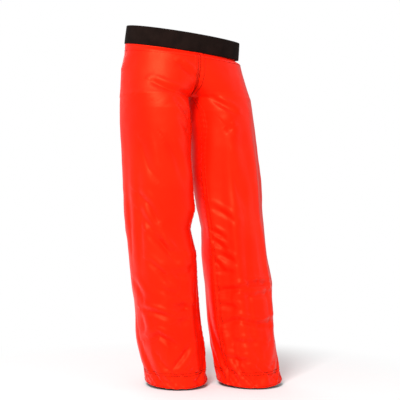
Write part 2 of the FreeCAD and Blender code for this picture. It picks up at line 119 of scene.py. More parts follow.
def shell_tree(side):
    """A search tree of the side's outer cloth, from the waist to the hem."""
    names = [f"front_panel_{side}", f"hip_fold_{side}", f"{side}_knee_fold", f"{side}_hem_band"]
    names += [f"{side}_{part}_{panel}" for part in ("thigh", "shin")
              for panel in ("front", "outer", "inner")]
    verts, faces = [], []
    for name in names:
        mesh = frame["nodes"][name].data
        base = len(verts)
        verts += [v.co.copy() for v in mesh.vertices]
        faces += [[base + i for i in face.vertices] for face in mesh.polygons]
    return BVHTree.FromPolygons(verts, faces)


def filled(line, closed):
    """A row of readings with its gaps filled in from both sides."""
    known = np.flatnonzero(~np.isnan(line))
    if len(known) == 0:
        return line
    period = len(line) if closed else None
    return np.interp(np.arange(len(line)), known, line[known], period=period)


class SkinMap:
    """How far the cloth is from an axis, by angle and height, with the gaps between panels filled."""

    def __init__(self, side, axis, turn, angles, heights, closed):
        self.side, self.axis, self.turn = side, axis, turn
        self.angles, self.heights = angles, heights
        reach = np.full((len(heights), len(angles)), np.nan)
        tree, far = TREES[side], 0.45
        for row, z in enumerate(heights):
            origin = axis(side, z)
            for column, angle in enumerate(angles):
                way = turn(side, angle)
                hit = tree.ray_cast(origin + way * far, -way, far)[0]
                if hit is not None:
                    reach[row, column] = (hit - origin).length
        self.reach = reach
        if closed:
            self.reach = np.array([filled(line, True) for line in self.gaps_down(6)])
        self.reach = np.array([filled(line, False) for line in self.reach.T]).T
        self.reach = np.array([filled(line, False) for line in self.reach])

    def gaps_down(self, limit):
        """Fills gaps of up to a few rows between two panels."""
        out = self.reach.copy()
        for column in range(out.shape[1]):
            line = out[:, column]
            known = np.flatnonzero(~np.isnan(line))
            for a, b in zip(known[:-1], known[1:]):
                if 1 < b - a <= limit:
                    line[a:b + 1] = np.linspace(line[a], line[b], b - a + 1)
        return out

    def point(self, angle, z):
        """The point at an angle and a height."""
        row = np.interp(-z, -self.heights, np.arange(len(self.heights)))
        column = (angle - self.angles[0]) / (self.angles[1] - self.angles[0])
        if self.turn is leg_turn:
            column = column % len(self.angles)
        else:
            column = min(column, len(self.angles) - 1.001)
        r0, c0 = min(int(row), len(self.heights) - 2), int(max(column, 0))
        c1 = (c0 + 1) % len(self.angles)
        fr, fc = row - r0, max(column, 0) - c0
        near = self.reach[r0, c0] * (1 - fc) + self.reach[r0, c1] * fc
        below = self.reach[r0 + 1, c0] * (1 - fc) + self.reach[r0 + 1, c1] * fc
        return self.axis(self.side, z) + self.turn(self.side, angle) * float(near * (1 - fr) + below * fr)


TREES = {side: shell_tree(side) for side in SIDES}
LEG = {side: SkinMap(side, leg_axis, leg_turn, np.radians(np.arange(0, 360, 2.0)),
                     np.arange(CROTCH_Z + 0.004, HEM_Z, -0.004), True) for side in SIDES}
HIPS = {side: SkinMap(side, hip_axis, hip_turn, np.radians(np.arange(0.5, 160, 1.5)),
                      np.arange(0.0, -0.172, -0.003), False) for side in SIDES}


# ------------------------------------------------------------------ the garment's reference grid

UP_ROWS = 16
LOW_ROWS = 100
FRONT_COLUMNS = 44
INNER_COLUMNS = 18
ZIP_HALF = 9 * MM
TUCK = 9 * MM


def smooth(t):
    """Eases from 0 to 1."""
    t = np.clip(t, 0.0, 1.0)
    return t * t * (3 - 2 * t)


def even_steps(point_at, low, high, count, samples=60):
    """Angles between two limits, spaced evenly along the cloth."""
    angles = np.linspace(low, high, samples)
    points = np.array([point_at(a) for a in angles])
    lengths = np.concatenate([[0], np.cumsum(np.linalg.norm(np.diff(points, axis=0), axis=1))])
    return np.interp(np.linspace(0, lengths[-1], count + 1), lengths, angles)


def band_edge_z(point):
    """The height of the band's lower edge above or below a point."""
    return (-BAND_HALF - waist_axis.x * point.x - waist_axis.y * point.y) / waist_axis.z


def low_row_z(row):
    """The height of a row below the crotch."""
    return CROTCH_Z + (HEM_Z - CROTCH_Z) * row / LOW_ROWS


def seam_angle(z):
    """Where the seam from the crotch runs down the inner front of the leg."""
    heights = [HEM_Z, -0.43, -0.33, -0.285, -0.245, -0.20, CROTCH_Z]
    degrees = [201, 201, 202, 206, 214, 212, 197]
    return math.radians(float(np.interp(z, heights, degrees)))


def zip_angle(side, z, sign):
    """The angle of the zip's edge on the outer (-1) or the inner (1) side."""
    reach = (LEG[side].point(0.5 * math.pi, z) - leg_axis(side, z)).length
    return 0.5 * math.pi + sign * math.atan2(ZIP_HALF, reach)


def back_edge_angle(side, z):
    """Where the outer cloth ends at the back: the zip's edge, or the open seat's edge above it."""
    zip_edge = 2 * math.pi + zip_angle(side, z, -1)
    share = max(0.0, (z - BACK_TOP_Z) / (CROTCH_Z - BACK_TOP_Z))
    return zip_edge - math.radians(35) * share ** 1.5


def hip_limit(side, z, rear):
    """The hip angle at which the cloth's rear edge stands."""
    angle = math.radians(60)
    while (HIPS[side].point(angle, z).y < rear
           and HIPS[side].point(angle + 0.01, z).y > HIPS[side].point(angle, z).y):
        angle += 0.01
    return angle


def front_grid(side):
    """Rows of the front sheet, from the band to the hem, from the seam round to the zip."""
    rows = []
    rear_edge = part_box(f"front_panel_{side}")[1].y - 2 * MM
    for row in range(UP_ROWS):
        share = row / UP_ROWS
        z_mid = -0.035 + (CROTCH_Z + 0.035) * share
        rear = hip_limit(side, z_mid, rear_edge)
        angles = even_steps(lambda a: HIPS[side].point(a, z_mid), 0.0, rear, FRONT_COLUMNS)
        line = []
        for angle in angles:
            z = z_mid
            for _ in range(4):
                top = band_edge_z(HIPS[side].point(angle, z)) + TUCK
                z = top + (CROTCH_Z - top) * share
            line.append(HIPS[side].point(angle, z))
        rows.append(line)
    for row in range(LOW_ROWS + 1):
        z = low_row_z(row)
        angles = even_steps(lambda a: LEG[side].point(a, z), seam_angle(z), back_edge_angle(side, z),
                            FRONT_COLUMNS)
        rows.append([LEG[side].point(a, z) for a in angles])
    grid = np.array(rows)
    for row in range(UP_ROWS):
        grid[row, 0, 0] = 0.0
    return grid


def inner_grid(side):
    """Rows of the inner panel, from the seam round to the zip, below the crotch."""
    rows = []
    for row in range(LOW_ROWS + 1):
        z = low_row_z(row)
        fade = 1 - smooth((CROTCH_Z - z) / 0.19)
        zip_edge = zip_angle(side, min(z, BACK_TOP_Z), 1)
        angles = even_steps(lambda a: LEG[side].point(a, z), seam_angle(z), zip_edge, INNER_COLUMNS)
        line = []
        for column, angle in enumerate(angles):
            drop = (CROTCH_Z - BACK_TOP_Z + 2 * MM) * smooth(1.6 * column / INNER_COLUMNS - 0.6)
            line.append(LEG[side].point(angle, z - drop * fade))
        rows.append(line)
    return np.array(rows)


GRIDS = {}
for side in SIDES:
    GRIDS[side, "front"] = front_grid(side)
    GRIDS[side, "inner"] = inner_grid(side)
# Both legs' front sheets share the crotch seam's upper column.
for row in range(UP_ROWS):
    middle = (GRIDS["right", "front"][row, 0] + GRIDS["left", "front"][row, 0]) / 2
    GRIDS["right", "front"][row, 0] = middle
    GRIDS["left", "front"][row, 0] = middle


# ------------------------------------------------------------------ the cloth simulation

def grid_faces(rows, columns, base=0):
    """Quads of a grid whose vertices run along its rows."""
    faces = []
    for r in range(rows - 1):
        for c in range(columns - 1):
            a = base + r * columns + c
            faces.append((a, a + 1, a + columns + 1, a + columns))
    return faces


class Garment:
    """All four sheets as one welded mesh, with the way back from its vertices to the sheets."""

    def __init__(self):
        points, self.index, faces, place = [], {}, [], {}
        for key, grid in GRIDS.items():
            ids = np.zeros(grid.shape[:2], int)
            for r in range(grid.shape[0]):
                for c in range(grid.shape[1]):
                    spot = tuple(np.round(grid[r, c], 6))
                    if spot not in place:
                        place[spot] = len(points)
                        points.append(grid[r, c])
                    ids[r, c] = place[spot]
            self.index[key] = ids
            for a, b, c, d in grid_faces(*ids.shape):
                flat = ids.ravel()
                face = (flat[a], flat[b], flat[c], flat[d])
                turned = (key[0] == "right") == (key[1] == "front")
                if len(set(face)) == 4:
                    faces.append(face if turned else face[::-1])
        self.points = np.array(points)
        self.faces = [tuple(int(i) for i in face) for face in faces]

    def sheets(self, points):
        """The settled points, cut back into the garment's grids."""
        return {key: points[ids] for key, ids in self.index.items()}


def rest_shape(garment):
    """Where the cloth would lie if its spare length and width were pulled out: the spare is what folds."""
    points = garment.points.copy()
    depth = np.linspace(0.0, HEM_Z, 400)
    spare = np.interp(depth, [HEM_Z, -0.80, -0.60, -0.44, -0.30, -0.16, -0.08, 0.0],
                      [0.036, 0.050, 0.050, 0.024, 0.020, 0.020, 0.004, 0.0])
    stretched = np.concatenate([[0], np.cumsum(np.diff(depth) * (1 + (spare[1:] + spare[:-1]) / 2))])
    points[:, 2] = np.interp(-garment.points[:, 2], -depth, stretched)
    for side in SIDES:
        for part in ("front", "inner"):
            ids = garment.index[side, part]
            rows = range(UP_ROWS, ids.shape[0]) if part == "front" else range(ids.shape[0])
            for r in rows:
                for c in range(ids.shape[1]):
                    i = ids[r, c]
                    old = garment.points[i]
                    middle = np.array(leg_axis(side, old[2]))
                    wide = 0.022 * float(smooth((CROTCH_Z - old[2]) / 0.2))
                    points[i, :2] = old[:2] + (old[:2] - middle[:2]) * wide
    return points


def pin_weights(garment):
    """The band and hem hold the cloth's ends, and the zip holds its back edges."""
    weights = np.zeros(len(garment.points))
    for side in SIDES:
        front, inner = garment.index[side, "front"], garment.index[side, "inner"]
        for row in range(UP_ROWS + 14):
            hold = float(smooth((UP_ROWS + 13 - row) / 9))
            weights[front[row]] = np.maximum(weights[front[row]], round(hold, 2))
            if row >= UP_ROWS:
                weights[inner[row - UP_ROWS]] = np.maximum(weights[inner[row - UP_ROWS]], round(hold, 2))
        weights[front[-1]] = 1.0
        weights[inner[-1]] = 1.0
        below = np.array([r for r in range(UP_ROWS, front.shape[0])
                          if low_row_z(r - UP_ROWS) < BACK_TOP_Z - 0.004])
        weights[front[below, -1]] = 1.0
        weights[inner[:, -1]] = 1.0
        weights[front[below, -2]] = 1.0
        weights[inner[:, -2]] = 1.0
    return weights


# How far round from the front the inner form follows the hip.
INNER_TURN = math.pi * 0.84


def inner_form(side):
    """What fills the leg: the pads and the wearer's leg, inside the resting cloth."""
    heights = np.linspace(-0.02, HEM_Z, 90)
    angles = np.radians(np.arange(0, 360, 7.5))
    points = []
    for z in heights:
        for angle in angles:
            if z > CROTCH_Z - 0.002:
                hip_angle = min(INNER_TURN, (angle + math.pi / 2) % (2 * math.pi))
                skin = HIPS[side].point(hip_angle, z)
                middle = hip_axis(side, z)
                if (angle + math.pi / 2) % (2 * math.pi) > INNER_TURN:
                    skin = Vector((0.0, 0.04, z))
            else:
                skin = LEG[side].point(angle, z)
                middle = leg_axis(side, z)
            inward = (middle - skin)
            inward.z = 0
            inset = 5 * MM + 6 * MM * float(smooth((CROTCH_Z - z) / 0.25))
            points.append(skin + inward.normalized() * inset)
    count = len(angles)
    faces = []
    for r in range(len(heights) - 1):
        for c in range(count):
            a, b = r * count + c, r * count + (c + 1) % count
            face = (a, b, b + count, a + count)
            faces.append(face if side == "right" else face[::-1])
    return new_mesh(f"form_{side}", points, faces)


def new_mesh(name, points, faces):
    """A mesh object made from points and faces."""
    mesh = bpy.data.meshes.new(name)
    mesh.from_pydata([tuple(p) for p in points], [], faces)
    obj = bpy.data.objects.new(name, mesh)
    bpy.context.scene.collection.objects.link(obj)
    return obj


CLOTH = {"quality": 5, "mass": 0.35, "air_damping": 2.0, "tension_stiffness": 40,
         "compression_stiffness": 40, "shear_stiffness": 18, "bending_stiffness": 1.6,
         "tension_damping": 12, "compression_damping": 12, "shear_damping": 8, "bending_damping": 1.5,
         "vertex_group_mass": "pins"}
CLOTH_TOUCH = {"use_collision": True, "distance_min": 0.0015, "use_self_collision": False,
               "collision_quality": 2}


def simulate(garment, frames):
    """Lets the spare cloth buckle against what fills the legs, and reads where it settles."""
    cloth = new_mesh("cloth", garment.points, garment.faces)
    cloth.shape_key_add(name="Basis")
    rest = cloth.shape_key_add(name="rest")
    rest.data.foreach_set("co", rest_shape(garment).ravel())
    rest.value = 0.0
    group = cloth.vertex_groups.new(name="pins")
    weights = pin_weights(garment)
    for value in sorted(set(weights)):
        if value > 0:
            group.add([int(i) for i in np.flatnonzero(weights == value)], float(value), "REPLACE")
    modifier = cloth.modifiers.new("cloth", "CLOTH")
    for name, value in CLOTH.items():
        setattr(modifier.settings, name, value)
    modifier.settings.rest_shape_key = rest
    for name, value in CLOTH_TOUCH.items():
        setattr(modifier.collision_settings, name, value)
    forms = [inner_form(side) for side in SIDES]
    for form in forms:
        form.modifiers.new("collision", "COLLISION")
        form.collision.thickness_outer = 0.002
        form.collision.cloth_friction = 8
    scene = bpy.context.scene
    scene.frame_start, scene.frame_end = 1, frames
    modifier.point_cache.frame_start, modifier.point_cache.frame_end = 1, frames
    for number in range(1, frames + 1):
        scene.frame_set(number)
    solved = cloth.evaluated_get(bpy.context.evaluated_depsgraph_get())
    points = np.zeros(len(garment.points) * 3)
    solved.data.vertices.foreach_get("co", points)
    for obj in [cloth, *forms]:
        bpy.data.objects.remove(obj)
    scene.frame_set(1)
    return points.reshape(-1, 3)


garment = Garment()
settled = simulate(garment, 32)


# ------------------------------------------------------------------ fine grids, creases and normals

FINE = 3
SPLIT_ROW = UP_ROWS + 26
THICK = 1.4 * MM
ACROSS = np.array([0.9014, -0.4330, 0.0])
TOWARDS = np.array([-0.4330, -0.9014, 0.0])
CENTRE = np.array([0.0465, -0.0223, 0.0])


def finer(grid, factor=FINE):
    """The grid with more points between its own, on smooth curves through them."""
    def along(points):
        """The points along the first axis, finer by the factor, on a smooth curve through them."""
        count = len(points)
        at = np.arange((count - 1) * factor + 1) / factor
        base = np.minimum(at.astype(int), count - 2)
        t = (at - base).reshape(-1, *[1] * (points.ndim - 1))
        p1, p2 = points[base], points[base + 1]
        p0 = np.where((base > 0).reshape(t.shape), points[np.maximum(base - 1, 0)], 2 * p1 - p2)
        p3 = np.where((base < count - 2).reshape(t.shape), points[np.minimum(base + 2, count - 1)],
                      2 * p2 - p1)
        return 0.5 * (2 * p1 + (p2 - p0) * t + (2 * p0 - 5 * p1 + 4 * p2 - p3) * t ** 2
                      + (3 * p1 - p0 - 3 * p2 + p3) * t ** 3)
    return np.swapaxes(along(np.swapaxes(along(grid), 0, 1)), 0, 1)


def grid_normals(grid, side):
    """Outward unit normals of a sheet's grid."""
    down = np.gradient(grid, axis=0)
    across = np.gradient(grid, axis=1)
    normal = np.cross(across, down)
    normal /= np.maximum(np.linalg.norm(normal, axis=2, keepdims=True), 1e-12)
    middle = np.array([[leg_axis(side, z) if z < CROTCH_Z else hip_axis(side, z) for z in row]
                       for row in grid[::12, ::12, 2]])
    outward = ((grid[::12, ::12] - middle) * normal[::12, ::12]).sum(axis=2)
    return normal if np.median(outward) > 0 else -normal


# Creases of the worn cloth, as (across, height) points seen from the front, with depth and
# half width in mm.
CREASES = [
    ([(-0.053, -0.079), (-0.011, -0.111)], 3.0, 7),
    ([(-0.126, -0.130), (-0.075, -0.152), (-0.021, -0.165)], 3.2, 8),
    ([(-0.067, -0.175), (-0.040, -0.215), (-0.013, -0.282)], 3.0, 8),
    ([(-0.060, -0.225), (-0.030, -0.270), (-0.010, -0.330)], 2.4, 8),
    ([(-0.166, -0.429), (-0.140, -0.455), (-0.112, -0.496)], 3.0, 9),
    ([(-0.134, -0.536), (-0.105, -0.560), (-0.067, -0.608)], 3.4, 9),
    ([(-0.134, -0.608), (-0.105, -0.632), (-0.075, -0.665)], 3.0, 8),
    ([(-0.032, -0.615), (-0.024, -0.640)], 3.2, 12),
    ([(-0.045, -0.712), (-0.034, -0.735)], 3.2, 12),
    ([(-0.150, -0.734), (-0.107, -0.745), (-0.067, -0.758)], 3.4, 8),
    ([(-0.139, -0.817), (-0.107, -0.801), (-0.059, -0.830)], 4.0, 9),
    ([(-0.027, -0.830), (-0.050, -0.862), (-0.072, -0.889)], 3.2, 8),
    ([(0.032, -0.167), (0.060, -0.183), (0.094, -0.202)], 3.0, 8),
    ([(0.070, -0.243), (0.082, -0.257)], 2.4, 11),
    ([(0.032, -0.528), (0.059, -0.544)], 3.0, 7),
    ([(0.032, -0.550), (0.064, -0.576)], 3.0, 7),
    ([(0.037, -0.608), (0.059, -0.627)], 3.0, 7),
    ([(0.043, -0.691), (0.107, -0.681), (0.128, -0.697)], 3.6, 8),
    ([(0.120, -0.670), (0.150, -0.667), (0.182, -0.672)], 3.0, 7),
    ([(0.059, -0.777), (0.107, -0.764), (0.174, -0.785)], 3.6, 8),
    ([(0.070, -0.862), (0.107, -0.873), (0.134, -0.870)], 3.2, 8),
    ([(-0.162, -0.477), (-0.128, -0.521), (-0.094, -0.555)], 2.4, 9),
    ([(-0.111, -0.545), (-0.080, -0.579), (-0.050, -0.589)], 2.4, 8),
    ([(-0.084, -0.637), (-0.022, -0.647)], 3.0, 13),
    ([(-0.104, -0.678), (-0.060, -0.697)], 2.6, 8),
    ([(-0.074, -0.726), (-0.022, -0.732)], 2.6, 9),
    ([(-0.172, -0.661), (-0.149, -0.702)], 2.4, 8),
    ([(-0.155, -0.750), (-0.142, -0.794)], 2.6, 9),
    ([(-0.067, -0.770), (-0.022, -0.763)], 2.8, 11),
    ([(-0.158, -0.300), (-0.140, -0.360), (-0.112, -0.400)], 2.0, 12),
    ([(-0.098, -0.290), (-0.070, -0.335), (-0.050, -0.400)], 2.2, 12),
    ([(0.032, -0.463), (0.062, -0.480), (0.094, -0.504)], 2.4, 8),
    ([(0.049, -0.589), (0.094, -0.612)], 2.4, 8),
    ([(0.042, -0.635), (0.087, -0.638)], 2.4, 8),
    ([(0.107, -0.709), (0.189, -0.693)], 2.8, 9),
    ([(0.049, -0.726), (0.100, -0.733)], 2.4, 8),
    ([(0.152, -0.777), (0.199, -0.765)], 2.4, 8),
    ([(0.049, -0.802), (0.066, -0.846)], 2.8, 9),
    ([(0.087, -0.823), (0.162, -0.823)], 2.6, 8),
    ([(0.085, -0.330), (0.100, -0.400), (0.110, -0.450)], 2.0, 12),
]


CREASE_DEPTH = 2.0


def crease_depth(grid, normals):
    """How far the placed creases push the cloth in, with a soft ridge beside each."""
    flat = np.stack([(grid - CENTRE) @ ACROSS, grid[..., 2]], axis=-1)
    facing = np.clip((normals @ TOWARDS - 0.05) / 0.35, 0, 1)
    depth = np.zeros(grid.shape[:2])
    for points, deep, wide in CREASES:
        width = wide * MM
        nearest = np.full(grid.shape[:2], 9.0)
        signed = np.zeros(grid.shape[:2])
        length = sum(math.dist(a, b) for a, b in zip(points, points[1:]))
        place = np.zeros(grid.shape[:2])
        done = 0.0
        for a, b in zip(points, points[1:]):
            a, b = np.array(a), np.array(b)
            run = np.linalg.norm(b - a)
            t = np.clip(((flat - a) @ (b - a)) / run ** 2, 0, 1)
            off = flat - (a + t[..., None] * (b - a))
            away = np.linalg.norm(off, axis=-1)
            closer = away < nearest
            side_sign = (b - a)[0] * off[..., 1] - (b - a)[1] * off[..., 0]
            nearest = np.where(closer, away, nearest)
            signed = np.where(closer, np.sign(side_sign) * away, signed)
            place = np.where(closer, (done + t * run) / length, place)
            done += run
        ends = 0.35 + 0.65 * np.sin(np.pi * np.clip(place, 0, 1)) ** 0.7
        valley = np.exp(-(nearest / width) ** 2)
        ridge = 0.55 * np.exp(-((signed - 1.7 * width) / (1.2 * width)) ** 2) * (signed > 0)
        fade = np.exp(-np.maximum(nearest - 2.5 * width, 0) / width)
        depth += CREASE_DEPTH * deep * MM * ends * fade * (ridge - valley)
    return depth * facing


def soft_noise(shape, scale, seed):
    """Smooth random values over a grid, from a coarse lattice of the given cell size."""
    made = np.random.default_rng(seed)
    rows, columns = int(shape[0] / scale[0]) + 4, int(shape[1] / scale[1]) + 4
    coarse = made.standard_normal((rows, columns))
    r = np.arange(shape[0]) / scale[0] + 1
    c = np.arange(shape[1]) / scale[1] + 1
    ri, ci = r.astype(int), c.astype(int)
    fr, fc = smooth(r - ri)[:, None], smooth(c - ci)[None, :]
    near = coarse[np.ix_(ri, ci)] * (1 - fc) + coarse[np.ix_(ri, ci + 1)] * fc
    below = coarse[np.ix_(ri + 1, ci)] * (1 - fc) + coarse[np.ix_(ri + 1, ci + 1)] * fc
    return near * (1 - fr) + below * fr


def worn(grid, side, part, seed):
    """A settled sheet made finer, with its placed creases and the small unevenness of sewn cloth."""
    fine = finer(grid)
    normals = grid_normals(fine, side)
    shape = fine.shape[:2]
    push = crease_depth(fine, normals) if part == "front" else np.zeros(shape)
    push += 0.30 * MM * soft_noise(shape, (9, 9), seed)
    # Broad hollows and swells, deeper down the leg where spare cloth hangs.
    loose = smooth((-0.10 - fine[..., 2]) / 0.5)
    push += (0.5 + 1.5 * loose) * MM * soft_noise(shape, (34, 26), seed + 2)
    # The cloth draws in a little along its seam, in short puckers.
    column = np.arange(shape[1])[None, :]
    by_seam = np.exp(-(column / 5.0) ** 2)
    pucker = np.sin(np.arange(shape[0])[:, None] * 1.15 + soft_noise(shape, (20, 30), seed + 1))
    push -= 0.5 * MM * by_seam * (1 + pucker)
    keep = np.ones(shape)
    keep[:FINE * 2] = 0
    push[:, 0] *= 0
    fine = fine + normals * (push * keep)[..., None]
    return fine, grid_normals(fine, side)


class Sheet:
    """One sheet of the garment: its outer face, normals and lengths from its seam column."""

    def __init__(self, key, grid, seed):
        self.side, self.part = key
        self.points, self.normals = worn(grid, *key, seed)
        steps = np.linalg.norm(np.diff(self.points, axis=1), axis=2)
        self.lengths = np.concatenate([np.zeros((len(steps), 1)), np.cumsum(steps, axis=1)], axis=1)
        self.first = 0 if self.part == "front" else UP_ROWS * FINE

    def at(self, row, distance, lift=0.0):
        """The point and normal on a row, a distance from the seam."""
        row = min(max(row - self.first, 0.0), len(self.points) - 1.001)
        r, fr = int(row), row - int(row)
        out = []
        for line, weight in ((r, 1 - fr), (r + 1, fr)):
            column = np.interp(distance, self.lengths[line], np.arange(self.points.shape[1]))
            c = min(int(column), self.points.shape[1] - 2)
            fc = column - c
            point = self.points[line, c] * (1 - fc) + self.points[line, c + 1] * fc
            normal = self.normals[line, c] * (1 - fc) + self.normals[line, c + 1] * fc
            out.append((point * weight, normal * weight))
        normal = out[0][1] + out[1][1]
        normal /= np.linalg.norm(normal)
        return out[0][0] + out[1][0] + normal * lift, normal


SHEETS = {key: Sheet(key, grid, 20 + number)
          for number, (key, grid) in enumerate(garment.sheets(settled).items())}


def unit(rows):
    """Each row's vector at unit length."""
    return rows / np.linalg.norm(rows, axis=-1, keepdims=True)


def share_seam_normals():
    """Sheets that meet along a seam get the same normals there, so the cloth shades as one."""
    fronts = [SHEETS[side, "front"] for side in SIDES]
    start = UP_ROWS * FINE
    middle = unit(sum(front.normals[:start, 0] for front in fronts))
    for front in fronts:
        inner = SHEETS[front.side, "inner"]
        front.normals[:start, 0] = middle
        seam = unit(front.normals[start:, 0] + inner.normals[:, 0])
        front.normals[start:, 0] = seam
        inner.normals[:, 0] = seam


centre_column = sum(SHEETS[side, "front"].points[:UP_ROWS * FINE, 0] for side in SIDES) / 2
for side in SIDES:
    SHEETS[side, "front"].points[:UP_ROWS * FINE, 0] = centre_column
share_seam_normals()

TILT = np.array((Matrix.Rotation(math.atan2(waist_axis.x, waist_axis.z), 3, "Y")
                 @ Matrix.Rotation(math.asin(-waist_axis.y), 3, "X")))


def local_box(name):
    """A node's box in the waistband's own upright frame."""
    points = node_points(name) @ TILT
    return points.min(axis=0), points.max(axis=0)


band_low, band_high = local_box("waistband")
BAND_THICK = 5 * MM
BAND_A, BAND_B = band_high[0] - BAND_THICK / 2, -band_low[1] - BAND_THICK / 2

# Where the worn cloth stands out or in from the plain leg: a direction, how tightly it keeps to it, and
# (height in m, distance in mm) pairs.
CORNER = np.array([0.26, -0.966, 0.0])
BULGES = [
    ("right", CORNER, 1.5, [(-0.155, 0), (-0.20, 15), (-0.30, 15), (-0.42, 7), (-0.50, 0)]),
    ("left", CORNER * [-1, 1, 1], 1.5, [(-0.155, 0), (-0.20, 7), (-0.30, 6), (-0.42, 0)]),
    ("right", ACROSS, 1.5, [(-0.34, 0), (-0.42, 5), (-0.47, 11), (-0.523, -2), (-0.59, 8), (-0.67, 4),
                            (-0.94, 4)]),
    ("right", -ACROSS, 2.0, [(-0.04, 0), (-0.08, 5), (-0.165, -4), (-0.23, 0), (-0.56, 0), (-0.72, 4),
                             (-0.80, 5), (-0.94, 0)]),
    ("left", -ACROSS, 1.5, [(-0.30, 0), (-0.38, 6), (-0.44, 4), (-0.523, -6), (-0.60, 0), (-0.72, 4),
                            (-0.94, 7)]),
    ("left", ACROSS, 2.0, [(-0.22, 0), (-0.35, 4), (-0.50, 2), (-0.62, 5), (-0.675, 10), (-0.73, 7),
                           (-0.80, 4), (-0.94, 6)]),
]
HEM_RISE = 10 * MM
HEM_RISE_LENGTH = 0.08
INNER_LAP = 11 * MM
TUCK_LENGTH = 10 * MM
for (side, part), sheet in SHEETS.items():
    z = sheet.points[..., 2]
    shift = np.zeros_like(sheet.points)
    for bulge_side, direction, power, stations in BULGES:
        if bulge_side == side:
            heights, amounts = zip(*stations[::-1])
            weight = np.clip(sheet.normals @ direction, 0, 1) ** power
            shift += (weight * np.interp(z, heights, amounts) * MM)[..., None] * direction
    # The hem hangs lowest in front.
    facing = np.clip(sheet.normals @ TOWARDS, 0, 1)
    shift[..., 2] += HEM_RISE * (1 - facing) * smooth((HEM_Z + HEM_RISE_LENGTH - z) / HEM_RISE_LENGTH)
    if part == "inner":
        # The inner panel's top edge laps up behind the crotch seam.
        row, column = np.indices(z.shape)
        shift[..., 2] += INNER_LAP * smooth(column / 8) * (1 - smooth(row / 30))
    else:
        # The top edge is tucked in behind the band's outer face.
        upright = (sheet.points + shift) @ TILT
        reach = np.hypot(upright[..., 0] / BAND_A, upright[..., 1] / BAND_B)
        tuck = smooth((upright[..., 2] + BAND_HALF + TUCK_LENGTH) / TUCK_LENGTH)
        tuck *= np.maximum(0, 1 - 1 / reach)
        shift -= ((upright * [1, 1, 0]) * tuck[..., None]) @ TILT.T
    sheet.points = sheet.points + shift
for sheet in SHEETS.values():
    sheet.normals = grid_normals(sheet.points, sheet.side)
share_seam_normals()


# ------------------------------------------------------------------ materials

def material(name, colour, roughness, **sockets):
    """A new material, with sockets of its shader set by name."""
    made = bpy.data.materials.new(name)
    made.use_nodes = True
    shader = made.node_tree.nodes["Principled BSDF"]
    shader.inputs["Base Color"].default_value = (*colour, 1)
    shader.inputs["Roughness"].default_value = roughness
    for socket, value in sockets.items():
        shader.inputs[socket.replace("_", " ")].default_value = value
    return made


def node(made, kind, **settings):
    """A new node of a material."""
    new = made.node_tree.nodes.new(kind)
    for name, value in settings.items():
        setattr(new, name, value)
    return new


def woven(name, dark, light, roughness, scale, strength, patch, **sockets):
    """A material of crossing threads, with patchy colour and a fine grain."""
    made = material(name, light, roughness, **sockets)
    links = made.node_tree.links
    shader = made.node_tree.nodes["Principled BSDF"]
    where = node(made, "ShaderNodeTexCoord").outputs["Object"]
    height = node(made, "ShaderNodeMath", operation="MULTIPLY_ADD")
    for number, direction in enumerate("ZX"):
        wave = node(made, "ShaderNodeTexWave", wave_type="BANDS", bands_direction=direction)
        wave.inputs["Scale"].default_value = scale
        wave.inputs["Distortion"].default_value = 0.6
        wave.inputs["Detail"].default_value = 1.0
        links.new(where, wave.inputs["Vector"])
        links.new(wave.outputs["Fac"], height.inputs[number])
    grain, patches = (node(made, "ShaderNodeTexNoise") for _ in range(2))
    for noise, size, detail in ((grain, scale * 0.9, 3.0), (patches, patch, 4.0)):
        noise.inputs["Scale"].default_value = size
        noise.inputs["Detail"].default_value = detail
        links.new(where, noise.inputs["Vector"])
    links.new(grain.outputs["Fac"], height.inputs[2])
    bump = node(made, "ShaderNodeBump")
    bump.inputs["Strength"].default_value = strength
    bump.inputs["Distance"].default_value = 0.0006
    links.new(height.outputs[0], bump.inputs["Height"])
    links.new(bump.outputs["Normal"], shader.inputs["Normal"])
    ramp = node(made, "ShaderNodeValToRGB")
    for stop, position, colour in zip(ramp.color_ramp.elements, (0.36, 0.64), (dark, light)):
        stop.position = position
        stop.color = (*colour, 1)
    links.new(patches.outputs["Fac"], ramp.inputs["Fac"])
    links.new(ramp.outputs["Color"], shader.inputs["Base Color"])
    return made


WARM = (1.0, 0.30, 0.10, 1.0)
ORANGE = woven("orange_nylon", (0.92, 0.0095, 0.0014), (0.98, 0.0135, 0.0024), 0.42, 900, 0.10, 9,
               Specular_IOR_Level=0.40, Specular_Tint=WARM)
SEAM_ORANGE = woven("orange_seam", (0.90, 0.0085, 0.0013), (0.96, 0.0120, 0.0021), 0.46, 1100, 0.14, 9,
                    Specular_IOR_Level=0.45, Specular_Tint=WARM)
# The stitch thread is painted near black. This is painted shade of the stitch grooves; the real thread is orange
# on orange cloth.
THREAD_IN_PAINTED_SHADE = woven("thread_painted_groove_shade", (0.045, 0.0008, 0.0004), (0.070, 0.0012, 0.0006), 0.8, 2600, 0.3, 60,
               Specular_IOR_Level=0.03)
DARK_THREAD = woven("dark_thread", (0.04, 0.036, 0.032), (0.07, 0.062, 0.055), 0.6, 2600, 0.3, 60)
BAND = woven("black_elastic", (0.007, 0.0032, 0.0022), (0.012, 0.0056, 0.0040), 0.85, 1400, 0.45, 30,
             Specular_IOR_Level=0.08)
WEBBING = woven("black_webbing", (0.010, 0.009, 0.008), (0.020, 0.017, 0.016), 0.62, 1800, 0.6, 40,
                Sheen_Weight=0.2)
LINING = woven("dark_lining", (0.028, 0.028, 0.033), (0.044, 0.044, 0.050), 0.7, 1300, 0.3, 14,
               Sheen_Weight=0.2)
PAD = woven("pad_fibre", (0.52, 0.46, 0.33), (0.70, 0.64, 0.50), 0.9, 320, 0.8, 70, Sheen_Weight=0.4)
TAPE = woven("zip_tape", (0.014, 0.012, 0.012), (0.026, 0.023, 0.023), 0.7, 2200, 0.5, 50)
COIL = woven("zip_coil", (0.022, 0.022, 0.022), (0.036, 0.036, 0.036), 0.35, 3000, 0.1, 90)
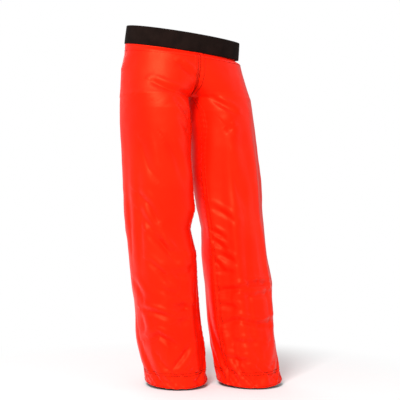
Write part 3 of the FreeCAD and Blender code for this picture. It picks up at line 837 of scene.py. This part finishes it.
PLASTIC = woven("buckle_plastic", (0.010, 0.010, 0.011), (0.016, 0.016, 0.017), 0.38, 4000, 0.12, 60)
METAL = woven("nickel", (0.36, 0.35, 0.34), (0.48, 0.47, 0.46), 0.28, 5000, 0.08, 80, Metallic=1.0)


# ------------------------------------------------------------------ meshes of the leg cloth

def finish_piece(obj, made, smooth_shading=True):
    """Gives a piece its material and slot."""
    obj.data.materials.append(made)
    if smooth_shading:
        obj.data.shade_smooth()
    return obj


def blend_upper(obj, side):
    """Bakes the placement of a piece of cloth above mid-thigh into its mesh."""
    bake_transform(obj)


def blend_lower(obj, side):
    """Bakes the placement of a piece of cloth below mid-thigh into its mesh."""
    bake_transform(obj)


def slab(outer, normals, thickness):
    """A closed layer from a grid: its outer face, an inner face at the given depth, and its rim."""
    rows, columns = outer.shape[:2]
    depth = np.broadcast_to(np.asarray(thickness, float), (rows, columns))
    inner = outer - normals * depth[..., None]
    points = np.concatenate([outer.reshape(-1, 3), inner.reshape(-1, 3)])
    count = rows * columns
    faces = grid_faces(rows, columns)
    faces += [tuple(count + i for i in face[::-1]) for face in grid_faces(rows, columns)]
    top = [c for c in range(columns)]
    bottom = [(rows - 1) * columns + c for c in range(columns)]
    left = [r * columns for r in range(rows)]
    right = [r * columns + columns - 1 for r in range(rows)]
    for edge, turned in ((top, True), (bottom, False), (left, False), (right, True)):
        for a, b in zip(edge, edge[1:]):
            face = (a, b, b + count, a + count)
            faces.append(face[::-1] if turned else face)
    both = np.concatenate([normals.reshape(-1, 3), -normals.reshape(-1, 3)])
    a, b, c = (points[faces[len(faces) // 5][i]] for i in range(3))
    if np.dot(np.cross(b - a, c - a), both[faces[len(faces) // 5][0]]) < 0:
        faces = [face[::-1] for face in faces]
    return points, faces, both


def joined(name, slabs):
    """One object from several closed layers, keeping their smooth normals."""
    points, faces, normals, base = [], [], [], 0
    for p, f, n in slabs:
        points.append(p)
        normals.append(n)
        faces += [tuple(base + i for i in face) for face in f]
        base += len(p)
    points, normals = np.concatenate(points), np.concatenate(normals)
    obj = new_mesh(name, points, faces)
    obj.data.shade_smooth()
    obj.data.normals_split_custom_set_from_vertices([tuple(n) for n in normals])
    return obj


def layer(name, side, upper, outset, thickness, parts=("front", "inner"), columns=slice(None),
          trim=slice(None)):
    """A layer of the garment at a depth below the shell's outer face, above or below the split."""
    slabs = []
    for part in parts:
        sheet = SHEETS[side, part]
        split = SPLIT_ROW * FINE - sheet.first
        rows = slice(0, split + 1) if upper else slice(split, None)
        points = sheet.points[rows][trim, columns]
        normals = sheet.normals[rows][trim, columns]
        depth = thickness
        if outset == 0:
            turned_up = smooth((HEM_TOP_Z + 2 * MM - points[..., 2]) / (3 * MM))
            depth = thickness + THICK * turned_up
        slabs.append(slab(points + normals * outset, normals, depth))
    return joined(name, slabs)


PAD_COLUMNS = slice(FINE * 3, FINE * 34)
PAD_DEPTH, PAD_THICK = 2.4 * MM, 5 * MM
LINING_DEPTH, LINING_THICK = 8.4 * MM, 0.8 * MM


def leg_cloth(side, upper):
    """The shell, pad and lining of one length of a leg, and the CAD pieces that they stand for."""
    word, bind = ("upper", blend_upper) if upper else ("lower", blend_lower)
    end = f"{word}_{side}"
    shell = finish_piece(layer(f"shell_{end}", side, upper, 0.0, THICK), ORANGE)
    pad_rows = slice(FINE * 3, None) if upper else slice(None, -FINE * 4)
    pad = layer(f"pad_{end}", side, upper, -PAD_DEPTH, PAD_THICK, ("front",), PAD_COLUMNS, pad_rows)
    lining_rows = slice(1, None) if upper else slice(None, -FINE)
    lining = layer(f"lining_{end}", side, upper, -LINING_DEPTH, LINING_THICK, trim=lining_rows)
    finish_piece(pad, PAD)
    finish_piece(lining, LINING)
    for obj in (shell, pad, lining):
        bind(obj, side)
    if upper:
        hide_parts(f"front_panel_{side}", f"hip_fold_{side}", f"{side}_thigh_front",
                    f"{side}_thigh_outer", f"{side}_thigh_inner")
        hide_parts(f"front_pad_{side}", f"{side}_thigh_pad")
        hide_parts(f"{side}_thigh_lining")
        if side == "right":
            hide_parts("front_lining")
    else:
        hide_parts(f"{side}_knee_fold", f"{side}_shin_front", f"{side}_shin_outer",
                    f"{side}_shin_inner", f"{side}_hem_band")
        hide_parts(f"{side}_shin_pad")
        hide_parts(f"{side}_shin_lining")


for side in SIDES:
    for upper in (True, False):
        leg_cloth(side, upper)


# ------------------------------------------------------------------ seams and stitches

def seam_at(pair, row, offset, lift=0.0):
    """A point beside a seam: on the first sheet at negative offsets, on the second at positive ones."""
    sheet = pair[0] if offset < 0 else pair[1]
    return sheet.at(row, abs(offset), lift)


def seam_strip(pair, rows, half_width, middle=0.0):
    """A felled strip of cloth along a seam, with its edges turned under and a groove at the join."""
    shares = np.array([-1, -0.96, -0.86, -0.5, -0.10, 0, 0.10, 0.5, 0.86, 0.96, 1])
    lifts = np.array([-0.2, 0.75, 1.15, 1.05, 1.0, 0.35, 1.0, 1.05, 1.15, 0.75, -0.2]) * MM
    points = np.zeros((len(rows), len(shares), 3))
    normals = np.zeros_like(points)
    for i, row in enumerate(rows):
        for j, (share, lift) in enumerate(zip(shares, lifts)):
            points[i, j], normals[i, j] = seam_at(pair, row, middle + share * half_width, lift)
    return slab(points, grid_normals_free(points, normals), 1.3 * MM)


def grid_normals_free(points, guide):
    """Unit normals of a strip's own shape, on the side of the guide normals."""
    normal = np.cross(np.gradient(points, axis=1), np.gradient(points, axis=0))
    normal /= np.maximum(np.linalg.norm(normal, axis=2, keepdims=True), 1e-12)
    return normal if (normal * guide).sum() > 0 else -normal


# How far a stitch's middle stands off plain cloth, and off a seam's strip.
ON_CLOTH = 0.1 * MM
ON_STRIP = 1.25 * MM
# One stitch: points along, across and up, in lengths and radii, and its faces.
STITCH = [(-0.5, 0.0, 0.0), (-0.3, 1.0, 0.0), (-0.3, 0.0, 1.0), (-0.3, -1.0, 0.0), (-0.3, 0.0, -0.6),
          (0.3, 1.0, 0.0), (0.3, 0.0, 1.0), (0.3, -1.0, 0.0), (0.3, 0.0, -0.6), (0.5, 0.0, 0.0)]
STITCH_FACES = [(0, 1, 2), (0, 2, 3), (0, 3, 4), (0, 4, 1), (1, 5, 6, 2), (2, 6, 7, 3), (3, 7, 8, 4),
                (4, 8, 5, 1), (9, 6, 5), (9, 7, 6), (9, 8, 7), (9, 5, 8)]


def stitch_row(points, normals, pitch=4.2 * MM, length=3.1 * MM, radius=0.6 * MM):
    """Raised threads along a line, one after another."""
    steps = np.linalg.norm(np.diff(points, axis=0), axis=1)
    run = np.concatenate([[0], np.cumsum(steps)])
    verts, faces = [], []
    for at in np.arange(pitch, run[-1] - pitch, pitch):
        ends = []
        for place in (at - length / 2, at + length / 2):
            ends.append(np.array([np.interp(place, run, points[:, k]) for k in range(3)]))
        normal = np.array([np.interp(at, run, normals[:, k]) for k in range(3)])
        along = (ends[1] - ends[0]) / length
        across = np.cross(normal, along)
        across /= np.linalg.norm(across)
        up = np.cross(along, across)
        middle = (ends[0] + ends[1]) / 2
        base = len(verts)
        verts += [middle + along * a * length + across * b * radius + up * c * radius for a, b, c in STITCH]
        faces += [tuple(base + i for i in face) for face in STITCH_FACES]
    return verts, faces


def stitches(name, lines, made=None):
    """One object with all the stitches of some lines of (points, normals)."""
    verts, faces = [], []
    for points, normals in lines:
        new_verts, new_faces = stitch_row(np.array(points), np.array(normals))
        faces += [tuple(len(verts) + i for i in face) for face in new_faces]
        verts += new_verts
    # By default the stitches take the thread that is painted dark as groove shade.
    return finish_piece(new_mesh(name, verts, faces), made or THREAD_IN_PAINTED_SHADE)


def seam_line(pair, rows, offset):
    """The points and normals of a line beside a seam, on its strip."""
    return tuple(zip(*(seam_at(pair, row, offset, ON_STRIP) for row in rows)))


def edge_line(sheet, rows, back):
    """The points and normals of a line a distance in from a sheet's far edge."""
    ends = {row: sheet.lengths[int(row - sheet.first)][-1] - back for row in rows}
    return tuple(zip(*(sheet.at(row, end, ON_CLOTH) for row, end in ends.items())))


def round_line(side, row):
    """A line round the leg along one row of the garment, front sheet and inner sheet."""
    lines = []
    for part in ("front", "inner"):
        sheet = SHEETS[side, part]
        if row < sheet.first:
            continue
        total = sheet.lengths[int(row - sheet.first)][-1]
        readings = [sheet.at(row, d, ON_CLOTH) for d in np.linspace(0, total, 120)]
        lines.append(tuple(zip(*readings)))
    return lines


CROTCH_ROW = UP_ROWS * FINE
SPLIT_FINE = SPLIT_ROW * FINE
LAST_ROW = (UP_ROWS + LOW_ROWS) * FINE
BACK_TOP_ROW = CROTCH_ROW + 22
CENTRE_HALF = 15.5 * MM
SEAM_HALF, SEAM_OFFSET = 9 * MM, 3 * MM

centre_pair = (SHEETS["right", "front"], SHEETS["left", "front"])
centre_rows = np.arange(2, CROTCH_ROW - 1)
centre_strip = joined("centre_seam", [seam_strip(centre_pair, centre_rows, CENTRE_HALF)])
finish_piece(centre_strip, SEAM_ORANGE)
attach(centre_strip, "waist")
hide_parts("centre_seam_facing")
centre_offsets = np.array([-13.2, -7.0, 0.0, 12.8]) * MM
centre_lines = [seam_line(centre_pair, centre_rows, offset) for offset in centre_offsets]
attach(stitches("centre_stitches", centre_lines), "waist")


def leg_seams(side, upper):
    """The inner seam's strip and all the top stitching of one length of a leg."""
    word, bind = ("upper", blend_upper) if upper else ("lower", blend_lower)
    front, inner = SHEETS[side, "front"], SHEETS[side, "inner"]
    start, stop = (CROTCH_ROW, SPLIT_FINE) if upper else (SPLIT_FINE, LAST_ROW)
    rows = np.arange(start, stop + 1)
    strip = joined(f"inner_seam_{word}_{side}", [seam_strip((inner, front), rows, SEAM_HALF, SEAM_OFFSET)])
    bind(finish_piece(strip, SEAM_ORANGE), side)
    lines = [seam_line((inner, front), rows, offset) for offset in (-3.5 * MM, 9.5 * MM)]
    for sheet, top in ((front, BACK_TOP_ROW), (inner, CROTCH_ROW + 3)):
        lines += [edge_line(sheet, range(max(start, top), stop), back) for back in (3.2 * MM, 9.0 * MM)]
    if upper:
        lines += round_line(side, FINE * 2.9)
        lines.append(edge_line(front, range(FINE * 5, BACK_TOP_ROW), 6 * MM))
    else:
        for above_hem in (13.0, 15.6, 1.2):
            lines += round_line(side, LAST_ROW - above_hem)
    bind(stitches(f"stitches_{word}_{side}", lines), side)


for side in SIDES:
    for upper in (True, False):
        leg_seams(side, upper)


# ------------------------------------------------------------------ waistband and belt

def rounded_section(half_height, half_thick, corner, bulge=0.0):
    """A strap's section as (outward, up) points, going round once."""
    points = []
    out, up = half_thick - corner, half_height - corner
    for cx, cz, start in ((out, up, 0), (-out, up, 90), (-out, -up, 180), (out, -up, 270)):
        for step in range(4):
            angle = math.radians(start + 30 * step)
            points.append((cx + corner * math.cos(angle), cz + corner * math.sin(angle)))
        if start in (0, 180):
            continue
        sign = 1 if start == 270 else -1
        for share in np.linspace(-0.8, 0.8, 9):
            z = share * half_height * sign
            points.append((sign * (half_thick + bulge * (1 - share ** 2)), z))
    return points


def sweep(name, path, section, swell=None):
    """A closed strap along a path of (x, y) points in the band's frame."""
    path = np.array(path)
    tangent = np.gradient(path, axis=0)
    tangent /= np.linalg.norm(tangent, axis=1, keepdims=True)
    outward = np.stack([tangent[:, 1], -tangent[:, 0]], axis=1)
    if (outward * path).sum() < 0:
        outward = -outward
    count = len(section)
    points, faces = [], []
    for i, (at, out) in enumerate(zip(path, outward)):
        extra = swell[i] if swell is not None else 0.0
        for offset, z in section:
            reach = offset + (extra if offset > 0 else 0.0)
            points.append(TILT @ np.array([at[0] + out[0] * reach, at[1] + out[1] * reach, z]))
    for i in range(len(path) - 1):
        for j in range(count):
            a, b = i * count + j, i * count + (j + 1) % count
            faces.append((a, b, b + count, a + count))
    faces.append(tuple(range(count))[::-1])
    faces.append(tuple((len(path) - 1) * count + j for j in range(count)))
    obj = new_mesh(name, points, faces)
    obj.data.shade_smooth()
    return obj


def ellipse_path(half_width, half_depth, start, end, count):
    """Points along an ellipse, in the band's frame."""
    return [(half_width * math.cos(a), half_depth * math.sin(a)) for a in np.linspace(start, end, count)]


rear_angle = math.asin(band_high[1] / BAND_B)
band_path = ellipse_path(BAND_A, BAND_B, rear_angle, -math.pi - rear_angle, 200)
gather = 0.18 * MM * np.sin(np.arange(200) * 2.1) + 0.25 * MM * rng.standard_normal(200).cumsum() / 14
gather = np.clip(gather, -0.4 * MM, 0.4 * MM)
band = sweep("band", band_path, rounded_section(band_high[2], BAND_THICK / 2, 1.6 * MM, 0.2 * MM), gather)
for vertex in band.data.vertices:
    place = TILT.T @ np.array(vertex.co)
    facing = max(0.0, float(np.array([place[0] / BAND_A ** 2, place[1] / BAND_B ** 2, 0]) @ ACROSS
                            / np.linalg.norm([place[0] / BAND_A ** 2, place[1] / BAND_B ** 2])))
    flare = (6.5 - 80 * place[2]) * MM
    vertex.co += Vector(ACROSS * flare * facing ** 8)
finish_piece(band, BAND)
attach(band, "waist")
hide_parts("waistband")


STRAIGHT_HALF = 72 * MM


def strap_path(side, end_x, line_y):
    """The webbing's path: on round the ring from the band's end, then straight across the back."""
    sign = SIDES[side]
    start = math.asin((band_high[1] - 6 * MM) / BAND_B)
    turn = math.acos(STRAIGHT_HALF / BAND_A)
    curve = [(sign * x, y) for x, y in ellipse_path(BAND_A, BAND_B, start, turn, 30)]
    shift = np.linspace(0, line_y - curve[-1][1], 30)
    curve = [(x, y + d) for (x, y), d in zip(curve, shift)]
    return curve + [(x, line_y) for x in np.linspace(sign * STRAIGHT_HALF, end_x, 24)[1:]]


WEB_SECTION = rounded_section(19 * MM, 1 * MM, 0.8 * MM)
left_low, left_high = local_box("belt_webbing_left")
right_high = local_box("belt_webbing_right")[1]
line_y = left_high[1] - 1 * MM
for side, end_x in (("left", left_low[0]), ("right", right_high[0])):
    strap = sweep(f"webbing_{side}", strap_path(side, end_x, line_y), WEB_SECTION)
    finish_piece(strap, WEBBING)
    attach(strap, "waist")
    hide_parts(f"belt_webbing_{side}")
tail_end = local_box("buckle_plug")[0][0] - joints["buckle_release"]["range_m"][1] - 0.4 * MM
tail_y = right_high[1] - 1 * MM
tail_path = [(x, tail_y) for x in np.linspace(-STRAIGHT_HALF, tail_end, 12)]
tail = sweep("webbing_tail", tail_path, WEB_SECTION)
finish_piece(tail, WEBBING)
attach(tail, "waist")


def keeper_loop():
    """The elastic loop round the webbing and its tail."""
    low, high = local_box("belt_keeper")
    middle, half = (low + high) / 2, (high - low) / 2
    outline = []
    corner = 2.0 * MM
    for sy, sz, start in ((1, 1, 0), (-1, 1, 90), (-1, -1, 180), (1, -1, 270)):
        for step in range(5):
            angle = math.radians(start + 22.5 * step)
            outline.append((sy * (half[1] - corner) + corner * math.cos(angle),
                            sz * (half[2] - corner) + corner * math.sin(angle)))
    points, faces = [], []
    count = len(outline)
    for inset, x in ((0, -half[0]), (0, half[0]), (1.3 * MM, half[0]), (1.3 * MM, -half[0])):
        for y, z in outline:
            scale_y, scale_z = (half[1] - inset) / half[1], (half[2] - inset) / half[2]
            points.append(TILT @ (middle + np.array([x, y * scale_y, z * scale_z])))
    for ring in range(4):
        for j in range(count):
            a, b = ring * count + j, ring * count + (j + 1) % count
            c, d = ((ring + 1) % 4) * count + (j + 1) % count, ((ring + 1) % 4) * count + j
            faces.append((a, b, c, d))
    return new_mesh("keeper", points, faces)


keeper = finish_piece(keeper_loop(), WEBBING, False)
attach(keeper, "waist")
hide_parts("belt_keeper")


SEWN_X, SEWN_Z = (58 * MM, 70 * MM), (-15 * MM, 15 * MM)
ON_WEBBING = 1.1 * MM


def strap_stitches():
    """A sewn box with a diagonal on one webbing's end, and the rows that hold the tail."""
    lines = []
    out = TILT @ np.array([0, 1, 0])

    def line(x1, z1, x2, z2, y):
        """Adds one straight line of stitches."""
        points = [TILT @ np.array([x1 + (x2 - x1) * t, y, z1 + (z2 - z1) * t]) for t in np.linspace(0, 1, 20)]
        lines.append((points, [out] * 20))

    face = line_y + ON_WEBBING
    for z in SEWN_Z:
        line(SEWN_X[0], z, SEWN_X[1], z, face)
    for x in SEWN_X:
        line(x, SEWN_Z[0], x, SEWN_Z[1], face)
    line(SEWN_X[0], SEWN_Z[0], SEWN_X[1], SEWN_Z[1], face)
    for x in (tail_end - 1.5 * MM, tail_end - 4.0 * MM):
        line(x, -16 * MM, x, 16 * MM, tail_y + ON_WEBBING)
    return stitches("belt_stitches", lines, DARK_THREAD)


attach(strap_stitches(), "waist")


# ------------------------------------------------------------------ zips and snap tabs

ZIP_RECESS = 3.7 * MM
ZIP_ROW = 0.6 * MM
COIL_WIDE = 2.8 * MM
TAPE_WIDE = 10.6 * MM
TOOTH_PITCH = 2.2 * MM
ZIP_LOW_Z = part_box("right_shin_zip_tapes")[0].z
split_z = low_row_z(SPLIT_ROW - UP_ROWS)


def back_line(side, z):
    """The zip's middle: the leg's back at a height, set in by the zip's recess."""
    return np.array(LEG[side].point(0.5 * math.pi, z)) - np.array([0, ZIP_RECESS, 0])


def tape(side, sign, high, low):
    """One woven tape of the zip, with a raised edge where the coil is sewn on."""
    offsets = np.array([0, 0.7, 1.4, 5.0, TAPE_WIDE / MM]) * MM + ZIP_ROW + COIL_WIDE - 0.4 * MM
    lifts = np.array([0.5, 0.6, 0.1, 0.0, 0.0]) * MM
    heights = np.linspace(high, low, 60)
    points = np.array([[back_line(side, z) + np.array([sign * o, 0.4 * MM + l, 0])
                        for o, l in zip(offsets, lifts)] for z in heights])
    guide = np.broadcast_to(np.array([0.0, 1.0, 0.0]), points.shape)
    return slab(points, grid_normals_free(points, guide), 0.8 * MM)


# A tooth's section, in shares of its width and of the pitch.
TOOTH = [(-0.5, 0.32), (0.5, 0.32), (0.62, 0), (0.5, -0.32), (-0.5, -0.32), (-0.62, 0)]


def teeth(name, side, high, low):
    """The coil's turns on both rows, each set half a pitch from its neighbour."""
    verts, faces = [], []
    for sign in (-1, 1):
        shift = 0.0 if sign > 0 else TOOTH_PITCH / 2
        for z in np.arange(low + shift, high, TOOTH_PITCH):
            middle = back_line(side, z)
            base = len(verts)
            for x, size in ((0.1 * MM, 0.8), (0.8 * MM, 1.0), (COIL_WIDE, 0.9)):
                for y, w in TOOTH:
                    verts.append(middle + np.array([sign * (ZIP_ROW * 0.5 + x), y * 1.9 * MM * size,
                                                    w * 2 * TOOTH_PITCH * 0.8 * size]))
            for ring in range(2):
                for j in range(6):
                    a, b = base + ring * 6 + j, base + ring * 6 + (j + 1) % 6
                    face = (a, b, b + 6, a + 6)
                    faces.append(face if sign > 0 else face[::-1])
            ends = [tuple(base + j for j in range(6)), tuple(base + 12 + j for j in range(6))]
            faces.append(ends[0][::-1] if sign > 0 else ends[0])
            faces.append(ends[1] if sign > 0 else ends[1][::-1])
    return new_mesh(name, verts, faces)


for side in SIDES:
    for word, bind, high, low in (("upper", blend_upper, BACK_TOP_Z, split_z),
                                  ("lower", blend_lower, split_z, ZIP_LOW_Z)):
        both = [tape(side, sign, high, low) for sign in (-1, 1)]
        tapes = finish_piece(joined(f"tapes_{word}_{side}", both), TAPE)
        coil = finish_piece(teeth(f"teeth_{word}_{side}", side, high - 2 * MM, low), COIL)
        bind(tapes, side)
        bind(coil, side)
        if word == "upper":
            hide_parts(f"{side}_thigh_zip_tapes")
            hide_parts(f"{side}_thigh_zip_coils")
        else:
            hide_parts(f"{side}_shin_zip_tapes", f"{side}_knee_zip")
            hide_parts(f"{side}_shin_zip_coils")


def tab_piece(side):
    """The snap tab: two layers of shell cloth with a rounded free end."""
    up = np.array(joints[f"{side}_zip_slide"]["axis"])
    across = np.array([1.0, 0, 0]) - up * up[0]
    across /= np.linalg.norm(across)
    out = np.cross(up, across)
    low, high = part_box(f"{side}_hem_tab")
    middle = (np.array(low) + np.array(high)) / 2
    half, tall, thick, corner = 25 * MM, 12 * MM, 2.3 * MM, 6 * MM
    shares = np.concatenate([[-1, -0.995, -0.97, -0.92, -0.86], np.linspace(-0.78, 0.9, 16), [0.96, 1.0]])
    points = np.zeros((len(shares), 13, 3))
    for i, share in enumerate(shares):
        x = share * half
        over = max(0.0, -x - (half - corner))
        reach = tall - corner + math.sqrt(max(0.0, corner ** 2 - over ** 2)) if over > 0 else tall
        for j, v in enumerate(np.linspace(-1, 1, 13)):
            edge = 0.5 * MM * max(0.0, (abs(v) - 0.82) / 0.18) ** 2
            points[i, j] = middle + across * SIDES[side] * x + up * v * reach + out * (thick / 2 - edge)
    guide = np.broadcast_to(out, points.shape)
    tab = joined(f"tab_{side}", [slab(points, guide.copy(), thick - 0.6 * MM)])
    finish_piece(tab, SEAM_ORANGE)
    lines = []
    inset = 2.6 * MM
    ring = [(-half + inset, -tall + corner), (-half + inset, tall - corner), (-half + corner, tall - inset),
            (half - inset, tall - inset), (half - inset, -tall + inset), (-half + corner, -tall + inset),
            (-half + inset, -tall + corner)]
    for (x1, z1), (x2, z2) in zip(ring, ring[1:]):
        steps = np.linspace(0, 1, 12)
        line = [middle + across * SIDES[side] * (x1 + (x2 - x1) * t) + up * (z1 + (z2 - z1) * t)
                + out * (thick / 2 + ON_CLOTH) for t in steps]
        lines.append((line, [out] * len(steps)))
    sewn = stitches(f"tab_stitches_{side}", lines)
    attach(tab, f"{side}_hem_tab")
    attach(sewn, f"{side}_hem_tab")
    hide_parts(f"{side}_hem_tab")


for side in SIDES:
    tab_piece(side)

# The hard parts are the CAD pieces themselves, with their own finishes.
HARD = {"buckle_socket": PLASTIC, "buckle_plug": PLASTIC}
for side in SIDES:
    HARD[f"{side}_zip_stop"] = COIL
    for part in ("zip_slider", "zip_pull", "snap_cap", "snap_stud"):
        HARD[f"{side}_{part}"] = METAL
for name, made in HARD.items():
    mesh = frame["nodes"][name].data
    mesh.materials.clear()
    mesh.materials.append(made)


# ------------------------------------------------------------------ the cloth's flat sizes, worked out and not kept

def cut_size(side, upper):
    """The flat width and length of a leg's cloth and its area, measured on the cloth at rest."""
    rows = slice(0, SPLIT_ROW + 1) if upper else slice(SPLIT_ROW, None)
    area, widths = 0.0, []
    for part in ("front", "inner"):
        grid = GRIDS[side, part]
        first = 0 if part == "front" else UP_ROWS
        cut = grid[max(0, rows.start - first):None if rows.stop is None else rows.stop - first]
        down = cut[1:, :-1] - cut[:-1, :-1]
        across = cut[:-1, 1:] - cut[:-1, :-1]
        area += float(np.linalg.norm(np.cross(down, across), axis=2).sum())
        widths.append(float(np.linalg.norm(np.diff(cut, axis=1), axis=2).sum(axis=1).max()))
        if part == "front":
            length = float(np.linalg.norm(np.diff(cut, axis=0), axis=2).sum(axis=0).max())
    return sum(widths), length, area


for side in SIDES:
    for upper in (True, False):
        word = "upper" if upper else "lower"
        width, length, area = cut_size(side, upper)


# ------------------------------------------------------------------ camera, lights and floor

def add_area(name, place, aim, size, power):
    """A rectangular area light aimed at a point."""
    light = bpy.data.lights.new(name, "AREA")
    light.shape = "RECTANGLE"
    light.size, light.size_y = size
    light.energy = power
    obj = bpy.data.objects.new(name, light)
    bpy.context.scene.collection.objects.link(obj)
    obj.location = place
    obj.rotation_euler = (Vector(aim) - Vector(place)).to_track_quat("-Z", "Y").to_euler()
    return obj


target = Vector((0.04645, -0.0223, -0.4427))
azimuth, elevation, distance = math.radians(-25.66), math.radians(-0.97), 2.618
towards = Vector((math.sin(azimuth) * math.cos(elevation), -math.cos(azimuth) * math.cos(elevation),
                  math.sin(elevation)))
camera = bpy.data.objects.new("camera", bpy.data.cameras.new("camera"))
camera.data.lens, camera.data.sensor_width = 83.4, 36
camera.location = target + towards * distance
camera.rotation_euler = (-towards).to_track_quat("-Z", "Y").to_euler()
bpy.context.scene.collection.objects.link(camera)
bpy.context.scene.camera = camera
bpy.context.scene.view_settings.view_transform = "Standard"

FLOOR_Z = cad_box[0][2] - 4 * MM
floor_corners = [(x, y, FLOOR_Z) for x, y in ((-6, -6), (6, -6), (6, 6), (-6, 6))]
floor = new_mesh("floor", floor_corners, [(0, 1, 2, 3)])
pale = material("pale_floor", (0.86, 0.86, 0.86), 0.9)
glow = node(pale, "ShaderNodeEmission")
reach = node(pale, "ShaderNodeVectorMath", operation="LENGTH")
fade = node(pale, "ShaderNodeMapRange", interpolation_type="SMOOTHSTEP")
fade.inputs["From Min"].default_value, fade.inputs["From Max"].default_value = 1.0, 1.25
blend = node(pale, "ShaderNodeMixShader")
join = pale.node_tree.links.new
join(node(pale, "ShaderNodeTexCoord").outputs["Object"], reach.inputs[0])
join(reach.outputs["Value"], fade.inputs["Value"])
join(fade.outputs["Result"], blend.inputs[0])
join(pale.node_tree.nodes["Principled BSDF"].outputs[0], blend.inputs[1])
join(glow.outputs[0], blend.inputs[2])
join(blend.outputs[0], pale.node_tree.nodes["Material Output"].inputs["Surface"])
floor.data.materials.append(pale)
world = bpy.data.worlds.new("studio")
bpy.context.scene.world = world
world.use_nodes = True
background = world.node_tree.nodes["Background"]
background.inputs["Color"].default_value = (1, 1, 1, 1)
rays = world.node_tree.nodes.new("ShaderNodeLightPath")
strength = world.node_tree.nodes.new("ShaderNodeMapRange")
strength.inputs["To Min"].default_value = 0.55
strength.inputs["To Max"].default_value = 1.0
world.node_tree.links.new(rays.outputs["Is Camera Ray"], strength.inputs["Value"])
world.node_tree.links.new(strength.outputs["Result"], background.inputs["Strength"])
for lamp in (add_area("key", (-1.7, -1.9, 1.7), (0, 0, -0.45), (0.9, 1.2), 105),
             add_area("fill", (2.2, -1.2, 0.3), (0, 0, -0.5), (1.2, 1.6), 4),
             add_area("back", (0.4, 2.2, 1.1), (0, 0, -0.4), (1.6, 1.2), 16)):
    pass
